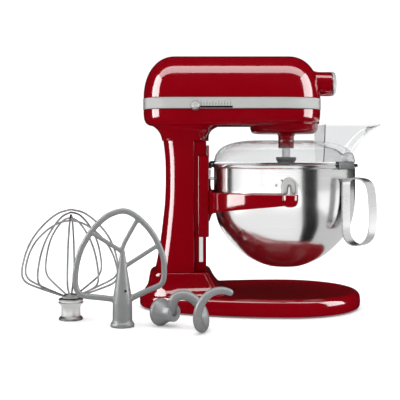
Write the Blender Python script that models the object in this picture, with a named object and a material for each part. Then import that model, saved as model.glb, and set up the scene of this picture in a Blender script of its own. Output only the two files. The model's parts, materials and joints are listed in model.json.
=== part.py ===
"""Bowl-lift stand mixer, modelled in metres.

+Z is up and +X is the front, where the attachment hub is. The mixer is symmetric about Y = 0, and the
origin is on the worktop under the column. Every solid keeps a small gap to its neighbours.
"""
import math

import bmesh
import bpy
from mathutils import Matrix, Vector

MM = 0.001
GAP = 0.3 * MM

# Overall sizes
OVERALL_HEIGHT = 419 * MM
HEAD_REAR_X = -71 * MM
HEAD_FRONT_X = 225 * MM
HEAD_HALF_WIDTH = 67 * MM
HEAD_WALL = 3.5 * MM
BAND_BOTTOM_Z = 329 * MM
BAND_TOP_Z = 347.5 * MM
HEAD_BOTTOM_Z = 302 * MM
NECK_SEAM_Z = 277.5 * MM
COLLAR_TOP_Z = 62 * MM
COLUMN_FRONT_X = 34 * MM
BASE_TOP_Z = 28.5 * MM
BASE_BOTTOM_Z = 2.5 * MM

# Bowl and drive, all on one vertical axis
BOWL_AXIS_X = 165 * MM
BOWL_RADIUS = 118 * MM
RIM_RADIUS = 122 * MM
RIM_Z = 239 * MM
BOWL_WALL = 1.4 * MM
LIFT_TRAVEL = 38 * MM

# Planetary: an internal ring gear and a pinion on the tool shaft
PLANET_MODULE = 2.4 * MM
RING_TEETH = 42
PLANET_TEETH = 12
ORBIT_RADIUS = PLANET_MODULE * (RING_TEETH - PLANET_TEETH) / 2
PLANETARY_BOTTOM_Z = 289 * MM
CASE_BOSS_RADIUS = 56.8 * MM
CASE_BOSS_BOTTOM_Z = 295.6 * MM
SHAFT_END_Z = 252 * MM
TOWER_RADIUS = 13 * MM
TOWER_END_Z = 266.6 * MM

# Hub drive: bevel pair between the vertical shaft and the hub shaft
BEVEL_MODULE = 1.8 * MM
BEVEL_GEAR_TEETH = 25
BEVEL_PINION_TEETH = 10
HUB_Z = 372.8 * MM
HUB_RADIUS = 20.2 * MM
HUB_FRONT_X = 244 * MM

# Motor drive: spur pair between the motor and the hub shaft
SPUR_MODULE = 1.2 * MM
HUB_GEAR_TEETH = 40
MOTOR_PINION_TEETH = 10
MOTOR_Z = HUB_Z - SPUR_MODULE * (HUB_GEAR_TEETH + MOTOR_PINION_TEETH) / 2

# Speed lever, in a slot along the lower edge of the trim band on the -Y side
SPEED_KNOB = Vector((16.4, -76.4, 333.2)) * MM
SPEED_TRAVEL = 56 * MM

# Bowl-lift lever on the +Y side, with a crank inside the column
CRANK_X = 14 * MM
CRANK_Z = 170 * MM
CRANK_RADIUS = 30 * MM
CRANK_HALF_SWING = math.asin(LIFT_TRAVEL / (2 * CRANK_RADIUS))

# Placement of the smaller pieces
FOOT_PLACES = {
    "foot_centre": (0, 0), "foot_rear_left": (-20, -58), "foot_rear_right": (-20, 58),
    "foot_front_left": (210, -82), "foot_front_right": (210, 82),
}
GLAND_PLACE = (0, 32 * MM, 13 * MM)
HUB_CAP_AXIS = Vector((246 * MM, 0, HUB_Z + 22 * MM))
HANDLE_AZIMUTH = math.radians(-40)
SHIELD_TURN = math.radians(5.5)
WHISK_PLACE = (-176 * MM, -125 * MM, 0.0)
WHISK_LOOPS = 5
WHISK_APEX_STEP = 4.2
BEATER_PLACE = Vector((-91.5, -183, 0)) * MM
HOOK_HUB = Vector((-22, -186, 21.5)) * MM

ROUND = 24
SMALL_ROUND = 12
SHARP_ANGLE = math.radians(35)


# ---------------------------------------------------------------- materials

def make_material(name, color, roughness, metallic=0.0, alpha=1.0):
    material = bpy.data.materials.new(name)
    material.use_nodes = True
    shader = material.node_tree.nodes["Principled BSDF"]
    shader.inputs["Base Color"].default_value = (*color, 1.0)
    shader.inputs["Roughness"].default_value = roughness
    shader.inputs["Metallic"].default_value = metallic
    shader.inputs["Alpha"].default_value = alpha
    return material


def make_materials():
    return {
        "paint": make_material("red_paint", (0.42, 0.0, 0.012), 0.15),
        "satin": make_material("satin_metal", (0.62, 0.61, 0.60), 0.32, 1.0),
        "steel": make_material("polished_steel", (0.72, 0.71, 0.70), 0.14, 1.0),
        "tool": make_material("coated_tool", (0.33, 0.34, 0.34), 0.42),
        "clear": make_material("clear_plastic", (0.86, 0.87, 0.88), 0.08, 0.0, 0.35),
        "rubber": make_material("dark_rubber", (0.03, 0.03, 0.03), 0.6),
        "black": make_material("black_plastic", (0.02, 0.02, 0.02), 0.3),
        "board": make_material("circuit_board", (0.02, 0.16, 0.06), 0.5),
        "copper": make_material("copper", (0.72, 0.34, 0.16), 0.35, 1.0),
        "core": make_material("laminated_core", (0.24, 0.24, 0.25), 0.45, 1.0),
        "brass": make_material("brass", (0.70, 0.52, 0.22), 0.3, 1.0),
        "carbon": make_material("carbon", (0.04, 0.04, 0.04), 0.7),
    }


# ---------------------------------------------------------------- mesh tools

def finish_object(name, bm, material):
    """Turn a bmesh in world coordinates into a linked object with smooth rounds."""
    bmesh.ops.recalc_face_normals(bm, faces=bm.faces)
    mesh = bpy.data.meshes.new(name)
    bm.to_mesh(mesh)
    bm.free()
    mesh.materials.append(material)
    mesh.shade_smooth()
    mesh.set_sharp_from_angle(angle=SHARP_ANGLE)
    obj = bpy.data.objects.new(name, mesh)
    bpy.context.scene.collection.objects.link(obj)
    return obj


def loft(name, rings, material, closed=False):
    """Skin a list of rings with the same number of points; the ends are capped unless closed."""
    bm = bmesh.new()
    loops = [[bm.verts.new(point) for point in ring] for ring in rings]
    pairs = list(zip(loops, loops[1:]))
    if closed:
        pairs.append((loops[-1], loops[0]))
    for lower, upper in pairs:
        for i in range(len(lower)):
            j = (i + 1) % len(lower)
            bm.faces.new((lower[i], lower[j], upper[j], upper[i]))
    if not closed:
        bm.faces.new(list(reversed(loops[0])))
        bm.faces.new(loops[-1])
    return finish_object(name, bm, material)


def turn(name, profile, material, origin=(0, 0, 0), axis="Z", segments=ROUND):
    """Turn a closed outline of (radius, height) points about an axis through origin."""
    bm = bmesh.new()
    columns = []
    for radius, height in profile:
        if radius < 1e-7:
            columns.append([bm.verts.new((0, 0, height))] * segments)
        else:
            angles = [2 * math.pi * i / segments for i in range(segments)]
            columns.append([bm.verts.new((radius * math.cos(a), radius * math.sin(a), height)) for a in angles])
    for k, first in enumerate(columns):
        second = columns[(k + 1) % len(columns)]
        for i in range(segments):
            j = (i + 1) % segments
            corners = []
            for vert in (first[i], first[j], second[j], second[i]):
                if vert not in corners:
                    corners.append(vert)
            if len(corners) > 2:
                bm.faces.new(corners)
    turns = {"Z": Matrix.Identity(4), "X": Matrix.Rotation(math.pi / 2, 4, "Y"),
             "Y": Matrix.Rotation(-math.pi / 2, 4, "X")}
    bm.transform(Matrix.Translation(origin) @ turns[axis])
    return finish_object(name, bm, material)


def disc(name, radius, low, high, material, origin=(0, 0, 0), axis="Z", segments=ROUND, bore=0.0):
    """A plain round bar or, with a bore, a bush, from low to high along its axis."""
    profile = [(bore, low), (radius, low), (radius, high), (bore, high)]
    return turn(name, profile, material, origin, axis, segments)


def block(name, low, high, material, bevel=0.0):
    """A box between two corners, with bevelled edges."""
    bm = bmesh.new()
    bmesh.ops.create_cube(bm, size=1.0)
    low, high = Vector(low), Vector(high)
    size = high - low
    bm.transform(Matrix.Translation((low + high) / 2) @ Matrix.Diagonal((*size, 1.0)))
    if bevel:
        bmesh.ops.bevel(bm, geom=bm.edges[:], offset=bevel, segments=2, affect="EDGES", profile=0.5)
    return finish_object(name, bm, material)


def rod(name, path, radii, material, sides=8, flatten=1.0):
    """Sweep a round section along a path; flatten squeezes it across the Y direction."""
    points = [Vector(point) for point in path]
    if not isinstance(radii, (list, tuple)):
        radii = [radii] * len(points)
    tangents = []
    for i in range(len(points)):
        ahead = points[min(i + 1, len(points) - 1)] - points[max(i - 1, 0)]
        tangents.append(ahead.normalized())
    normal = tangents[0].orthogonal().normalized()
    rings = []
    for point, tangent, radius in zip(points, tangents, radii):
        normal = (normal - tangent * normal.dot(tangent)).normalized()
        binormal = tangent.cross(normal)
        ring = []
        for k in range(sides):
            angle = 2 * math.pi * (k + 0.5) / sides
            offset = radius * (math.cos(angle) * normal + math.sin(angle) * binormal)
            offset.y *= flatten
            ring.append(point + offset)
        rings.append(ring)
    return loft(name, rings, material)


def combine(target, tools, operation="DIFFERENCE"):
    """Cut tools from the target, or join them to it, with Boolean modifiers."""
    for tool in tools:
        modifier = target.modifiers.new(tool.name, "BOOLEAN")
        modifier.operation = operation
        modifier.solver = "EXACT"
        modifier.object = tool
        tool.hide_render = True
        tool.display_type = "WIRE"
    return target


def joint_empty(name, location):
    """An empty on a joint's axis, which the moving pieces are parented to."""
    empty = bpy.data.objects.new(name, None)
    empty.location = location
    bpy.context.scene.collection.objects.link(empty)
    return empty


def attach(empty, pieces):
    """Parent pieces to an empty and leave them where they are."""
    for piece in pieces:
        piece.parent = empty
        piece.matrix_parent_inverse = Matrix.Translation(-empty.location)


def power(value, exponent):
    return math.copysign(abs(value) ** exponent, value)


# ---------------------------------------------------------------- outlines

def long_outline(rear_x, front_x, half_width, rear_length, front_length, z, steps=8, exponent=2.3):
    """A plan outline with straight sides and superelliptic ends."""
    ring = []
    for side, end_x, length in ((1, front_x, front_length), (-1, rear_x, rear_length)):
        for k in range(steps + 1):
            angle = -math.pi / 2 + math.pi * k / steps
            along = power(math.cos(angle), 2 / exponent)
            across = power(math.sin(angle), 2 / exponent)
            ring.append(Vector((end_x + side * length * (along - 1), side * half_width * across, z)))
    return ring


def head_ring(z, inset, shrink=1.0):
    """The head's plan outline at height z, pulled in all round."""
    reach = 53 * MM * (1 - shrink)
    return long_outline(HEAD_REAR_X + reach + inset, HEAD_FRONT_X - reach - inset,
                        max(HEAD_HALF_WIDTH * shrink - inset, 4 * MM),
                        max(58 * MM * shrink - inset, 4 * MM), max(78 * MM * shrink - inset, 4 * MM), z)


def dome_rings(inset, bottom_z):
    """Outlines from the seam up over the rounded top of the head."""
    height = OVERALL_HEIGHT - BAND_TOP_Z - GAP - inset
    rings = [head_ring(bottom_z, inset)] if bottom_z < BAND_TOP_Z else []
    for degrees in (0, 14, 28, 42, 55, 67, 78, 90):
        angle = math.radians(degrees)
        shrink = max(math.cos(angle), 0.0) ** (2 / 2.15)
        rise = math.sin(angle) ** (2 / 2.15)
        rings.append(head_ring(BAND_TOP_Z + GAP + height * rise, inset, shrink))
    return rings


# ---------------------------------------------------------------- base

def base_outline(z, inset):
    """Egg-shaped plan: a near-circular front about the bowl axis and a narrower rear."""
    ring = []
    front_radius = 126 * MM - inset
    for k in range(12):
        angle = -math.pi / 2 + math.pi * k / 12
        ring.append(Vector((BOWL_AXIS_X + front_radius * math.cos(angle), front_radius * math.sin(angle), z)))
    rear_length = BOWL_AXIS_X + 77.5 * MM - inset
    for k in range(13):
        angle = math.pi / 2 + math.pi * k / 12
        ring.append(Vector((BOWL_AXIS_X + rear_length * math.cos(angle), front_radius * math.sin(angle), z)))
    return ring[:-1]


def make_base(mats):
    """The foot casting with its collar round the column, hollow underneath."""
    edge = [(BASE_BOTTOM_Z, 2.0), (6 * MM, 0.3), (14 * MM, 0.0), (20.5 * MM, 0.6),
            (24.5 * MM, 2.4), (27.3 * MM, 5.4), (BASE_TOP_Z, 10.0)]
    slab = loft("base", [base_outline(z, inset * MM) for z, inset in edge], mats["paint"])
    collar_rings = [  # height, rear X, front X, half width, length of the round rear end, its squareness
        (24, -72, 84, 80, 80, 2.0), (30, -69, 72, 73, 68, 2.1), (36, -65, 61, 66, 56, 2.25),
        (42, -63, 54, 61.5, 46, 2.4), (50, -61.5, 49, 59, 37, 2.5), (58, -60, 44, 57.7, 32, 2.6),
        (COLLAR_TOP_Z / MM, -58, 40, 56, 30, 2.6)]
    collar = loft("base_collar", [long_outline(rear * MM, front * MM, half * MM, end * MM, 16 * MM, z * MM,
                                               exponent=exponent)
                                  for z, rear, front, half, end, exponent in collar_rings], mats["paint"])
    combine(slab, [collar], "UNION")
    under = loft("base_hollow", [base_outline(z * MM, inset * MM) for z, inset in ((-1, 6), (22, 7))],
                 mats["paint"])
    shaft_well = loft("base_well", [long_outline(-46 * MM, 28 * MM, 40 * MM, 24 * MM, 8 * MM, z * MM)
                                    for z in (20, 70)], mats["paint"])
    dish = turn("base_dish", [(0, 26 * MM), (92 * MM, 26 * MM), (104 * MM, 29 * MM), (0, 29 * MM)],
                mats["paint"], (BOWL_AXIS_X, 0, 0), segments=32)
    gland_hole = disc("base_gland_hole", 6.5 * MM, -72 * MM, -50 * MM, mats["paint"], GLAND_PLACE, "X")
    gland_seat = disc("base_gland_seat", 9.3 * MM, -82 * MM, -66 * MM, mats["paint"], GLAND_PLACE, "X")
    combine(slab, [under, shaft_well, dish, gland_hole, gland_seat])
    return slab


def make_base_plate(mats):
    """The plate that closes the underside of the base."""
    rings = [base_outline(z * MM, 6.6 * MM) for z in (3.2, 5.2)]
    loft("base_plate", rings, mats["satin"])


def make_feet(mats):
    profile = [(0, 0), (9, 0), (10.5, 1), (10.5, 2.9), (0, 2.9)]
    for name, (x, y) in FOOT_PLACES.items():
        turn(name, [(r * MM, z * MM) for r, z in profile], mats["rubber"], (x * MM, y * MM, 0),
             segments=SMALL_ROUND)


def make_cord_gland(mats):
    """The cord's inlet at the back of the base, on the side away from the speed lever."""
    profile = [(3.2, -70), (8.8, -70), (8.8, -66.4), (6.0, -66.4), (6.0, -56), (3.2, -56)]
    turn("cord_gland", [(r * MM, x * MM) for r, x in profile], mats["rubber"], GLAND_PLACE, "X")


# ---------------------------------------------------------------- column

COLUMN_STATIONS = [  # height, rear X, half depth
    (COLLAR_TOP_Z / MM + 0.3, -52, 51), (77, -48.7, 48.5), (94, -45.8, 45.5), (111, -42.8, 43),
    (144, -38.6, 39.8), (178, -35.2, 37.5), (212, -34.2, 36.5), (245, -34.7, 36.5), (262, -36.1, 36.8),
    (NECK_SEAM_Z / MM - 0.3, -38.0, 37.3),
]


def make_column(mats):
    """The hollow column with the straight block in front that the carriage slides on."""
    rings = [long_outline(rear * MM, 17 * MM, depth * MM, 34 * MM, 5 * MM, z * MM)
             for z, rear, depth in COLUMN_STATIONS]
    column = loft("column", rings, mats["paint"])
    low_z = COLLAR_TOP_Z + GAP
    high_z = NECK_SEAM_Z - GAP
    front = block("column_front", (0, -33.5 * MM, low_z), (COLUMN_FRONT_X, 33.5 * MM, high_z), mats["paint"])
    combine(column, [front], "UNION")
    hollow = loft("column_hollow", [long_outline(-29 * MM, 29.5 * MM, 29 * MM, 26 * MM, 4 * MM, z * MM)
                                    for z in (60, 280)], mats["paint"])
    fork_z = CRANK_Z + LIFT_TRAVEL / 2
    slot = block("column_slot", (24 * MM, -10 * MM, fork_z - LIFT_TRAVEL - 11 * MM),
                 (40 * MM, 5 * MM, fork_z + 11 * MM), mats["paint"])
    lever_hole = disc("column_lever_hole", 6.2 * MM, 20 * MM, 60 * MM, mats["paint"],
                      (CRANK_X, 0, CRANK_Z), "Y", SMALL_ROUND)
    combine(column, [hollow, slot, lever_hole])
    return column


def make_rails(mats):
    """Steel strips on both sides of the column's front block."""
    for side, name in ((-1, "slide_rail_left"), (1, "slide_rail_right")):
        faces = sorted((side * 33.8 * MM, side * 35.2 * MM))
        block(name, (22 * MM, faces[0], 78 * MM), (28.7 * MM, faces[1], 262 * MM), mats["steel"])


# ---------------------------------------------------------------- head

def make_lower_housing(mats):
    """The lower half of the head, with the neck and the round boss of the gear case."""
    rings = [head_ring(HEAD_BOTTOM_Z, 15 * MM), head_ring(303.2 * MM, 9.5 * MM), head_ring(306 * MM, 5 * MM),
             head_ring(310 * MM, 2.2 * MM), head_ring(316 * MM, 0.8 * MM),
             head_ring(BAND_BOTTOM_Z - GAP, 0.0),
             head_ring(BAND_BOTTOM_Z - GAP, 4.3 * MM), head_ring(BAND_TOP_Z - GAP, 4.3 * MM)]
    housing = loft("lower_housing", rings, mats["paint"])
    neck_rings = [(NECK_SEAM_Z / MM, -40, 38, 37.3, 30), (284, -41.5, 38.2, 38, 31), (290, -44, 39.8, 40, 32),
                  (295, -47.5, 43.5, 43, 34), (299, -51.5, 49, 47, 36), (303, -56.5, 58, 51, 38),
                  (307, -61.5, 64, 54, 40)]
    neck = loft("neck", [long_outline(rear * MM, front * MM, half * MM, end * MM, 24 * MM, z * MM)
                         for z, rear, front, half, end in neck_rings], mats["paint"])
    axis = (BOWL_AXIS_X, 0, 0)
    boss = turn("gear_case_boss", [(0, CASE_BOSS_BOTTOM_Z), (CASE_BOSS_RADIUS - 1 * MM, CASE_BOSS_BOTTOM_Z),
                                   (CASE_BOSS_RADIUS, CASE_BOSS_BOTTOM_Z + 1 * MM),
                                   (CASE_BOSS_RADIUS, 312 * MM), (0, 312 * MM)], mats["paint"], axis, segments=36)
    combine(housing, [speed_slot("housing_slot", mats)])
    combine(housing, [neck, boss], "UNION")
    cavity = loft("lower_cavity", [head_ring(306 * MM, 10 * MM), head_ring(309 * MM, 8.2 * MM),
                                   head_ring(352 * MM, 7.8 * MM)], mats["paint"])
    wire_way = block("wire_way", (-24 * MM, -22 * MM, 270 * MM), (24 * MM, 22 * MM, 312 * MM), mats["paint"])
    case_bore = disc("case_bore", 54.9 * MM, 290 * MM, 311 * MM, mats["paint"], axis, segments=36)
    combine(housing, [cavity, wire_way, case_bore])
    web = block("front_web", (86 * MM, -30 * MM, 305 * MM), (91 * MM, 30 * MM, 358 * MM), mats["paint"])
    web_bore = disc("web_bore", 11.3 * MM, 80 * MM, 97 * MM, mats["paint"], (0, 0, MOTOR_Z), "X", 24)
    combine(web, [web_bore])
    combine(housing, [web], "UNION")
    return housing


def speed_slot(name, mats):
    """The cutter for the slot that the speed lever's stem runs in."""
    x = SPEED_KNOB.x
    return block(name, (x - 4 * MM, -80 * MM, 330 * MM), (x + SPEED_TRAVEL + 4 * MM, -54 * MM, 333.4 * MM),
                 mats["paint"])


def make_upper_housing(mats):
    """The domed top of the head, with the attachment hub's barrel."""
    housing = loft("upper_housing", dome_rings(0.0, BAND_TOP_Z + GAP), mats["paint"])
    barrel_profile = [(0, 190), (HUB_RADIUS / MM + 3.4, 190), (HUB_RADIUS / MM + 0.6, 216),
                      (HUB_RADIUS / MM, 222), (HUB_RADIUS / MM, 243), (HUB_RADIUS / MM - 1, HUB_FRONT_X / MM),
                      (0, HUB_FRONT_X / MM)]
    barrel = turn("hub_barrel", [(r * MM, x * MM) for r, x in barrel_profile], mats["paint"],
                  (0, 0, HUB_Z), "X")
    knob_hole = disc("hub_knob_hole", 3.3 * MM, 12 * MM, 24 * MM, mats["paint"],
                     (230 * MM, 0, HUB_Z), "Y", segments=14)
    combine(barrel, [knob_hole])
    combine(housing, [barrel], "UNION")
    cavity = loft("upper_cavity", dome_rings(HEAD_WALL, BAND_TOP_Z - 5 * MM), mats["paint"])
    bore = disc("hub_bore", 14 * MM, 200 * MM, 250 * MM, mats["paint"], (0, 0, HUB_Z), "X")
    combine(housing, [cavity, bore])
    return housing


def make_trim_band(mats):
    """The satin band round the seam of the head, with the speed slot in its lower edge."""
    proud = -0.8 * MM
    band = loft("trim_band", [head_ring(z, inset) for z, inset in
                              ((BAND_BOTTOM_Z, 0.2 * MM), (BAND_BOTTOM_Z + 0.8 * MM, proud),
                               (BAND_TOP_Z - 0.8 * MM, proud), (BAND_TOP_Z, 0.2 * MM),
                               (BAND_TOP_Z, 3.9 * MM), (BAND_BOTTOM_Z, 3.9 * MM))], mats["satin"], closed=True)
    combine(band, [speed_slot("band_slot", mats)])
    return band


def make_speed_lever(mats):
    """The ball knob, its stem through the slot and the slider inside."""
    ball = [(8 * math.cos(math.radians(a)), 8 * math.sin(math.radians(a))) for a in range(-90, 91, 20)]
    ball[0], ball[-1] = (0, -8), (0, 8)
    knob = turn("speed_knob", [(r * MM, h * MM) for r, h in ball], mats["black"], SPEED_KNOB, "Y", SMALL_ROUND)
    stem_z = 331.7 * MM
    stem = disc("speed_stem", 1.3 * MM, -67.2 * MM, -57 * MM, mats["steel"], (SPEED_KNOB.x, 0, stem_z), "Y", 8)
    slider = block("speed_slider", (SPEED_KNOB.x - 8 * MM, -57.2 * MM, 325 * MM),
                   (SPEED_KNOB.x + 8 * MM, -54 * MM, 341 * MM), mats["steel"])
    combine(slider, [stem], "UNION")
    attach(joint_empty("speed_lever_axis", SPEED_KNOB), [knob, slider])


def make_control_board(mats):
    """The speed control board, which stands on the floor of the head beside the motor."""
    block("control_board", (-12 * MM, -50 * MM, 309.4 * MM), (64 * MM, -48 * MM, 366 * MM), mats["board"])


# ---------------------------------------------------------------- gears

def gear_outline(teeth, module, height_out, height_in, width=0.40, phase=0.0, spread=0.62):
    """Points round a gear: each tooth is a trapezoid with plenty of backlash."""
    pitch = module * teeth / 2
    points = []
    for k in range(teeth):
        centre = phase + 2 * math.pi * k / teeth
        root_half = width * math.pi / teeth * 1.25
        tip_half = width * math.pi / teeth * spread
        for angle, radius in ((centre - root_half, pitch - height_in), (centre - tip_half, pitch + height_out),
                              (centre + tip_half, pitch + height_out), (centre + root_half, pitch - height_in)):
            points.append((radius * math.cos(angle), radius * math.sin(angle)))
    return points


def spur_gear(name, teeth, module, low, high, bore, material, origin, axis, phase=0.0):
    """A spur gear with a round bore."""
    outline = gear_outline(teeth, module, 0.8 * module, 1.05 * module, phase=phase)
    rings = [[Vector((x, y, z)) for x, y in outline] for z in (low, high)]
    gear = placed(loft(name, rings, material), origin, axis)
    return combine(gear, [disc(name + "_bore", bore, low - MM, high + MM, material, origin, axis, 16)])


def placed(obj, origin, axis):
    """Turn a mesh built about +Z onto an axis and move it to origin."""
    turns = {"Z": Matrix.Identity(4), "X": Matrix.Rotation(math.pi / 2, 4, "Y")}
    obj.data.transform(Matrix.Translation(origin) @ turns[axis])
    return obj


def make_ring_gear(mats):
    """The fixed internal gear of the planetary, held in the gear case's boss."""
    origin = (BOWL_AXIS_X, 0, 0)
    low, high = 298 * MM, 305.6 * MM
    ring_gear = disc("ring_gear", 54.4 * MM, low, high, mats["steel"], origin, segments=36)
    outline = gear_outline(RING_TEETH, PLANET_MODULE, 0.8 * PLANET_MODULE, 0.75 * PLANET_MODULE,
                           width=0.42, phase=-math.pi / 2, spread=0.8)
    rings = [[Vector((x, y, z)) for x, y in outline] for z in (low - MM, high + MM)]
    teeth_space = placed(loft("ring_gear_teeth", rings, mats["steel"]), origin, "Z")
    return combine(ring_gear, [teeth_space])


def bevel_wheel(name, teeth, mate_teeth, bore, material, apex, axis, phase=0.0, face=7 * MM, flip=1):
    """A straight bevel gear whose teeth narrow toward the common apex of the pair."""
    pitch = BEVEL_MODULE * teeth / 2
    mate_pitch = BEVEL_MODULE * mate_teeth / 2
    cone_length = math.hypot(pitch, mate_pitch)
    cone = math.atan2(pitch, mate_pitch)
    rings = []
    for distance in (cone_length, cone_length - face):
        scale = distance / cone_length
        ring = []
        for x, y in gear_outline(teeth, BEVEL_MODULE, 0.75 * BEVEL_MODULE, 1.0 * BEVEL_MODULE, phase=phase):
            radius = math.hypot(x, y)
            lift = (radius - pitch) * scale
            axial = distance * math.cos(cone) - lift * math.sin(cone)
            radial = distance * math.sin(cone) + lift * math.cos(cone)
            ring.append(Vector((x / radius * radial, y / radius * radial, flip * axial)))
        rings.append(ring)
    back = flip * (cone_length * math.cos(cone) + 5.5 * MM)
    front = rings[1][0].z

    def circle(radius, z):
        return [Vector((p.x, p.y, 0)).normalized() * radius + Vector((0, 0, z)) for p in rings[0]]

    hub_radius = pitch - 2.6 * MM
    wheel = loft(name, [circle(hub_radius, back), *rings, circle(bore, front - flip * 0.5 * MM),
                        circle(bore, back)], material, closed=True)
    return placed(wheel, apex, axis)


# ---------------------------------------------------------------- drive train

def make_planetary(mats):
    """The carrier under the gear case, its vertical shaft and the large bevel gear."""
    axis = (BOWL_AXIS_X, 0, 0)
    disc_profile = [(0, PLANETARY_BOTTOM_Z), (47 * MM, PLANETARY_BOTTOM_Z), (52 * MM, 290.4 * MM),
                    (55 * MM, 292.8 * MM), (55.8 * MM, 295.3 * MM), (53 * MM, 295.3 * MM), (52 * MM, 296.4 * MM),
                    (0, 296.4 * MM)]
    carrier = turn("planet_carrier", disc_profile, mats["paint"], axis, segments=30)
    shaft_place = (BOWL_AXIS_X, -ORBIT_RADIUS, 0)
    tower_profile = [(0, TOWER_END_Z), (12 * MM, TOWER_END_Z), (TOWER_RADIUS, 268 * MM),
                     (TOWER_RADIUS, 284 * MM), (15 * MM, 287.5 * MM), (17 * MM, 290 * MM), (0, 290 * MM)]
    tower = turn("shaft_tower", tower_profile, mats["paint"], shaft_place, segments=18)
    combine(carrier, [tower], "UNION")
    bore = disc("tower_bore", 7 * MM, 260 * MM, 300 * MM, mats["paint"], shaft_place, segments=20)
    combine(carrier, [bore])
    shaft = disc("centre_shaft", 6 * MM, 296.7 * MM, 361 * MM, mats["steel"], axis, segments=20)
    gear = bevel_wheel("bevel_gear", BEVEL_GEAR_TEETH, BEVEL_PINION_TEETH, 6.3 * MM, mats["steel"],
                       (BOWL_AXIS_X, 0, HUB_Z), "Z", phase=math.pi / BEVEL_GEAR_TEETH, flip=-1)
    attach(joint_empty("planetary_axis", Vector(axis)), [carrier, shaft, gear])


def make_tool_shaft(mats):
    """The tool shaft that orbits with the carrier, with its pinion and cross pin."""
    place = (BOWL_AXIS_X, -ORBIT_RADIUS, 0)
    shaft = disc("tool_shaft", 6.6 * MM, SHAFT_END_Z - 14 * MM, 305.6 * MM, mats["steel"], place, segments=20)
    pinion = spur_gear("planet_pinion", PLANET_TEETH, PLANET_MODULE, 298.4 * MM, 305.4 * MM, 6.9 * MM,
                       mats["steel"], place, "Z", phase=-math.pi / 2)
    pin = disc("tool_pin", 2 * MM, -9.5 * MM, 9.5 * MM, mats["steel"],
               (BOWL_AXIS_X, -ORBIT_RADIUS, SHAFT_END_Z - 6 * MM), "X", 12)
    combine(shaft, [pin], "UNION")
    attach(joint_empty("tool_shaft_axis", Vector(place)), [shaft, pinion])


def make_hub_drive(mats):
    """The hub shaft with its spur gear, bevel pinion and square socket."""
    line = (0, 0, HUB_Z)
    shaft_profile = [(0, 98), (5, 98), (5, 206), (11, 206), (11, 240), (0, 240)]
    shaft = turn("hub_shaft", [(r * MM, x * MM) for r, x in shaft_profile], mats["steel"], line, "X", 20)
    half = 6.4 * MM
    socket = block("socket_cutter", (218 * MM, -half, HUB_Z - half), (245 * MM, half, HUB_Z + half), mats["steel"])
    combine(shaft, [socket])
    gear = spur_gear("hub_gear", HUB_GEAR_TEETH, SPUR_MODULE, 108 * MM, 116 * MM, 5.3 * MM, mats["core"],
                     line, "X")
    pinion = bevel_wheel("bevel_pinion", BEVEL_PINION_TEETH, BEVEL_GEAR_TEETH, 5.3 * MM, mats["steel"],
                         (BOWL_AXIS_X, 0, HUB_Z), "X", phase=0.0)
    attach(joint_empty("hub_drive_axis", Vector(line)), [shaft, gear, pinion])


def make_motor(mats):
    """A universal motor: stator, armature, commutator, fan, brushes and two bearings."""
    line = (0, 0, MOTOR_Z)
    disc("motor_stator", 34 * MM, -22 * MM, 46 * MM, mats["core"], line, "X", 28, bore=23.5 * MM)
    armature = disc("armature", 22.5 * MM, -20 * MM, 44 * MM, mats["copper"], line, "X", 24, bore=4.3 * MM)
    commutator = disc("commutator", 12 * MM, 52 * MM, 68 * MM, mats["copper"], line, "X", 24, bore=4.3 * MM)
    shaft = disc("motor_shaft", 4 * MM, -58 * MM, 117.5 * MM, mats["steel"], line, "X", 16)
    pinion = spur_gear("motor_pinion", MOTOR_PINION_TEETH, SPUR_MODULE, 107.5 * MM, 116.5 * MM, 3 * MM,
                       mats["steel"], line, "X", phase=math.pi / MOTOR_PINION_TEETH)
    combine(shaft, [pinion], "UNION")
    fan = make_fan(mats, line)
    attach(joint_empty("motor_axis", Vector(line)), [armature, commutator, shaft, fan])
    disc("front_bearing", 11 * MM, 86 * MM, 91 * MM, mats["steel"], line, "X", 20, bore=4.3 * MM)
    disc("rear_bearing", 9 * MM, -56 * MM, -50 * MM, mats["steel"], line, "X", 20, bore=4.3 * MM)
    for side, name in ((-1, "brush_left"), (1, "brush_right")):
        faces = sorted((side * 12.6 * MM, side * 28 * MM))
        block(name, (56 * MM, faces[0], MOTOR_Z - 3 * MM), (64 * MM, faces[1], MOTOR_Z + 3 * MM), mats["carbon"])


def make_fan(mats, line):
    """The cooling fan: a hub disc with straight blades."""
    fan = disc("cooling_fan", 12 * MM, -44 * MM, -30 * MM, mats["black"], line, "X", 20, bore=4.3 * MM)
    blades = []
    for k in range(8):
        angle = 2 * math.pi * k / 8
        blade = block(f"fan_blade_{k}", (-43 * MM, -1 * MM, 10 * MM), (-31 * MM, 1 * MM, 29 * MM), mats["black"])
        blade.data.transform(Matrix.Translation(line) @ Matrix.Rotation(angle, 4, "X"))
        blades.append(blade)
    combine(fan, blades, "UNION")
    return fan


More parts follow.
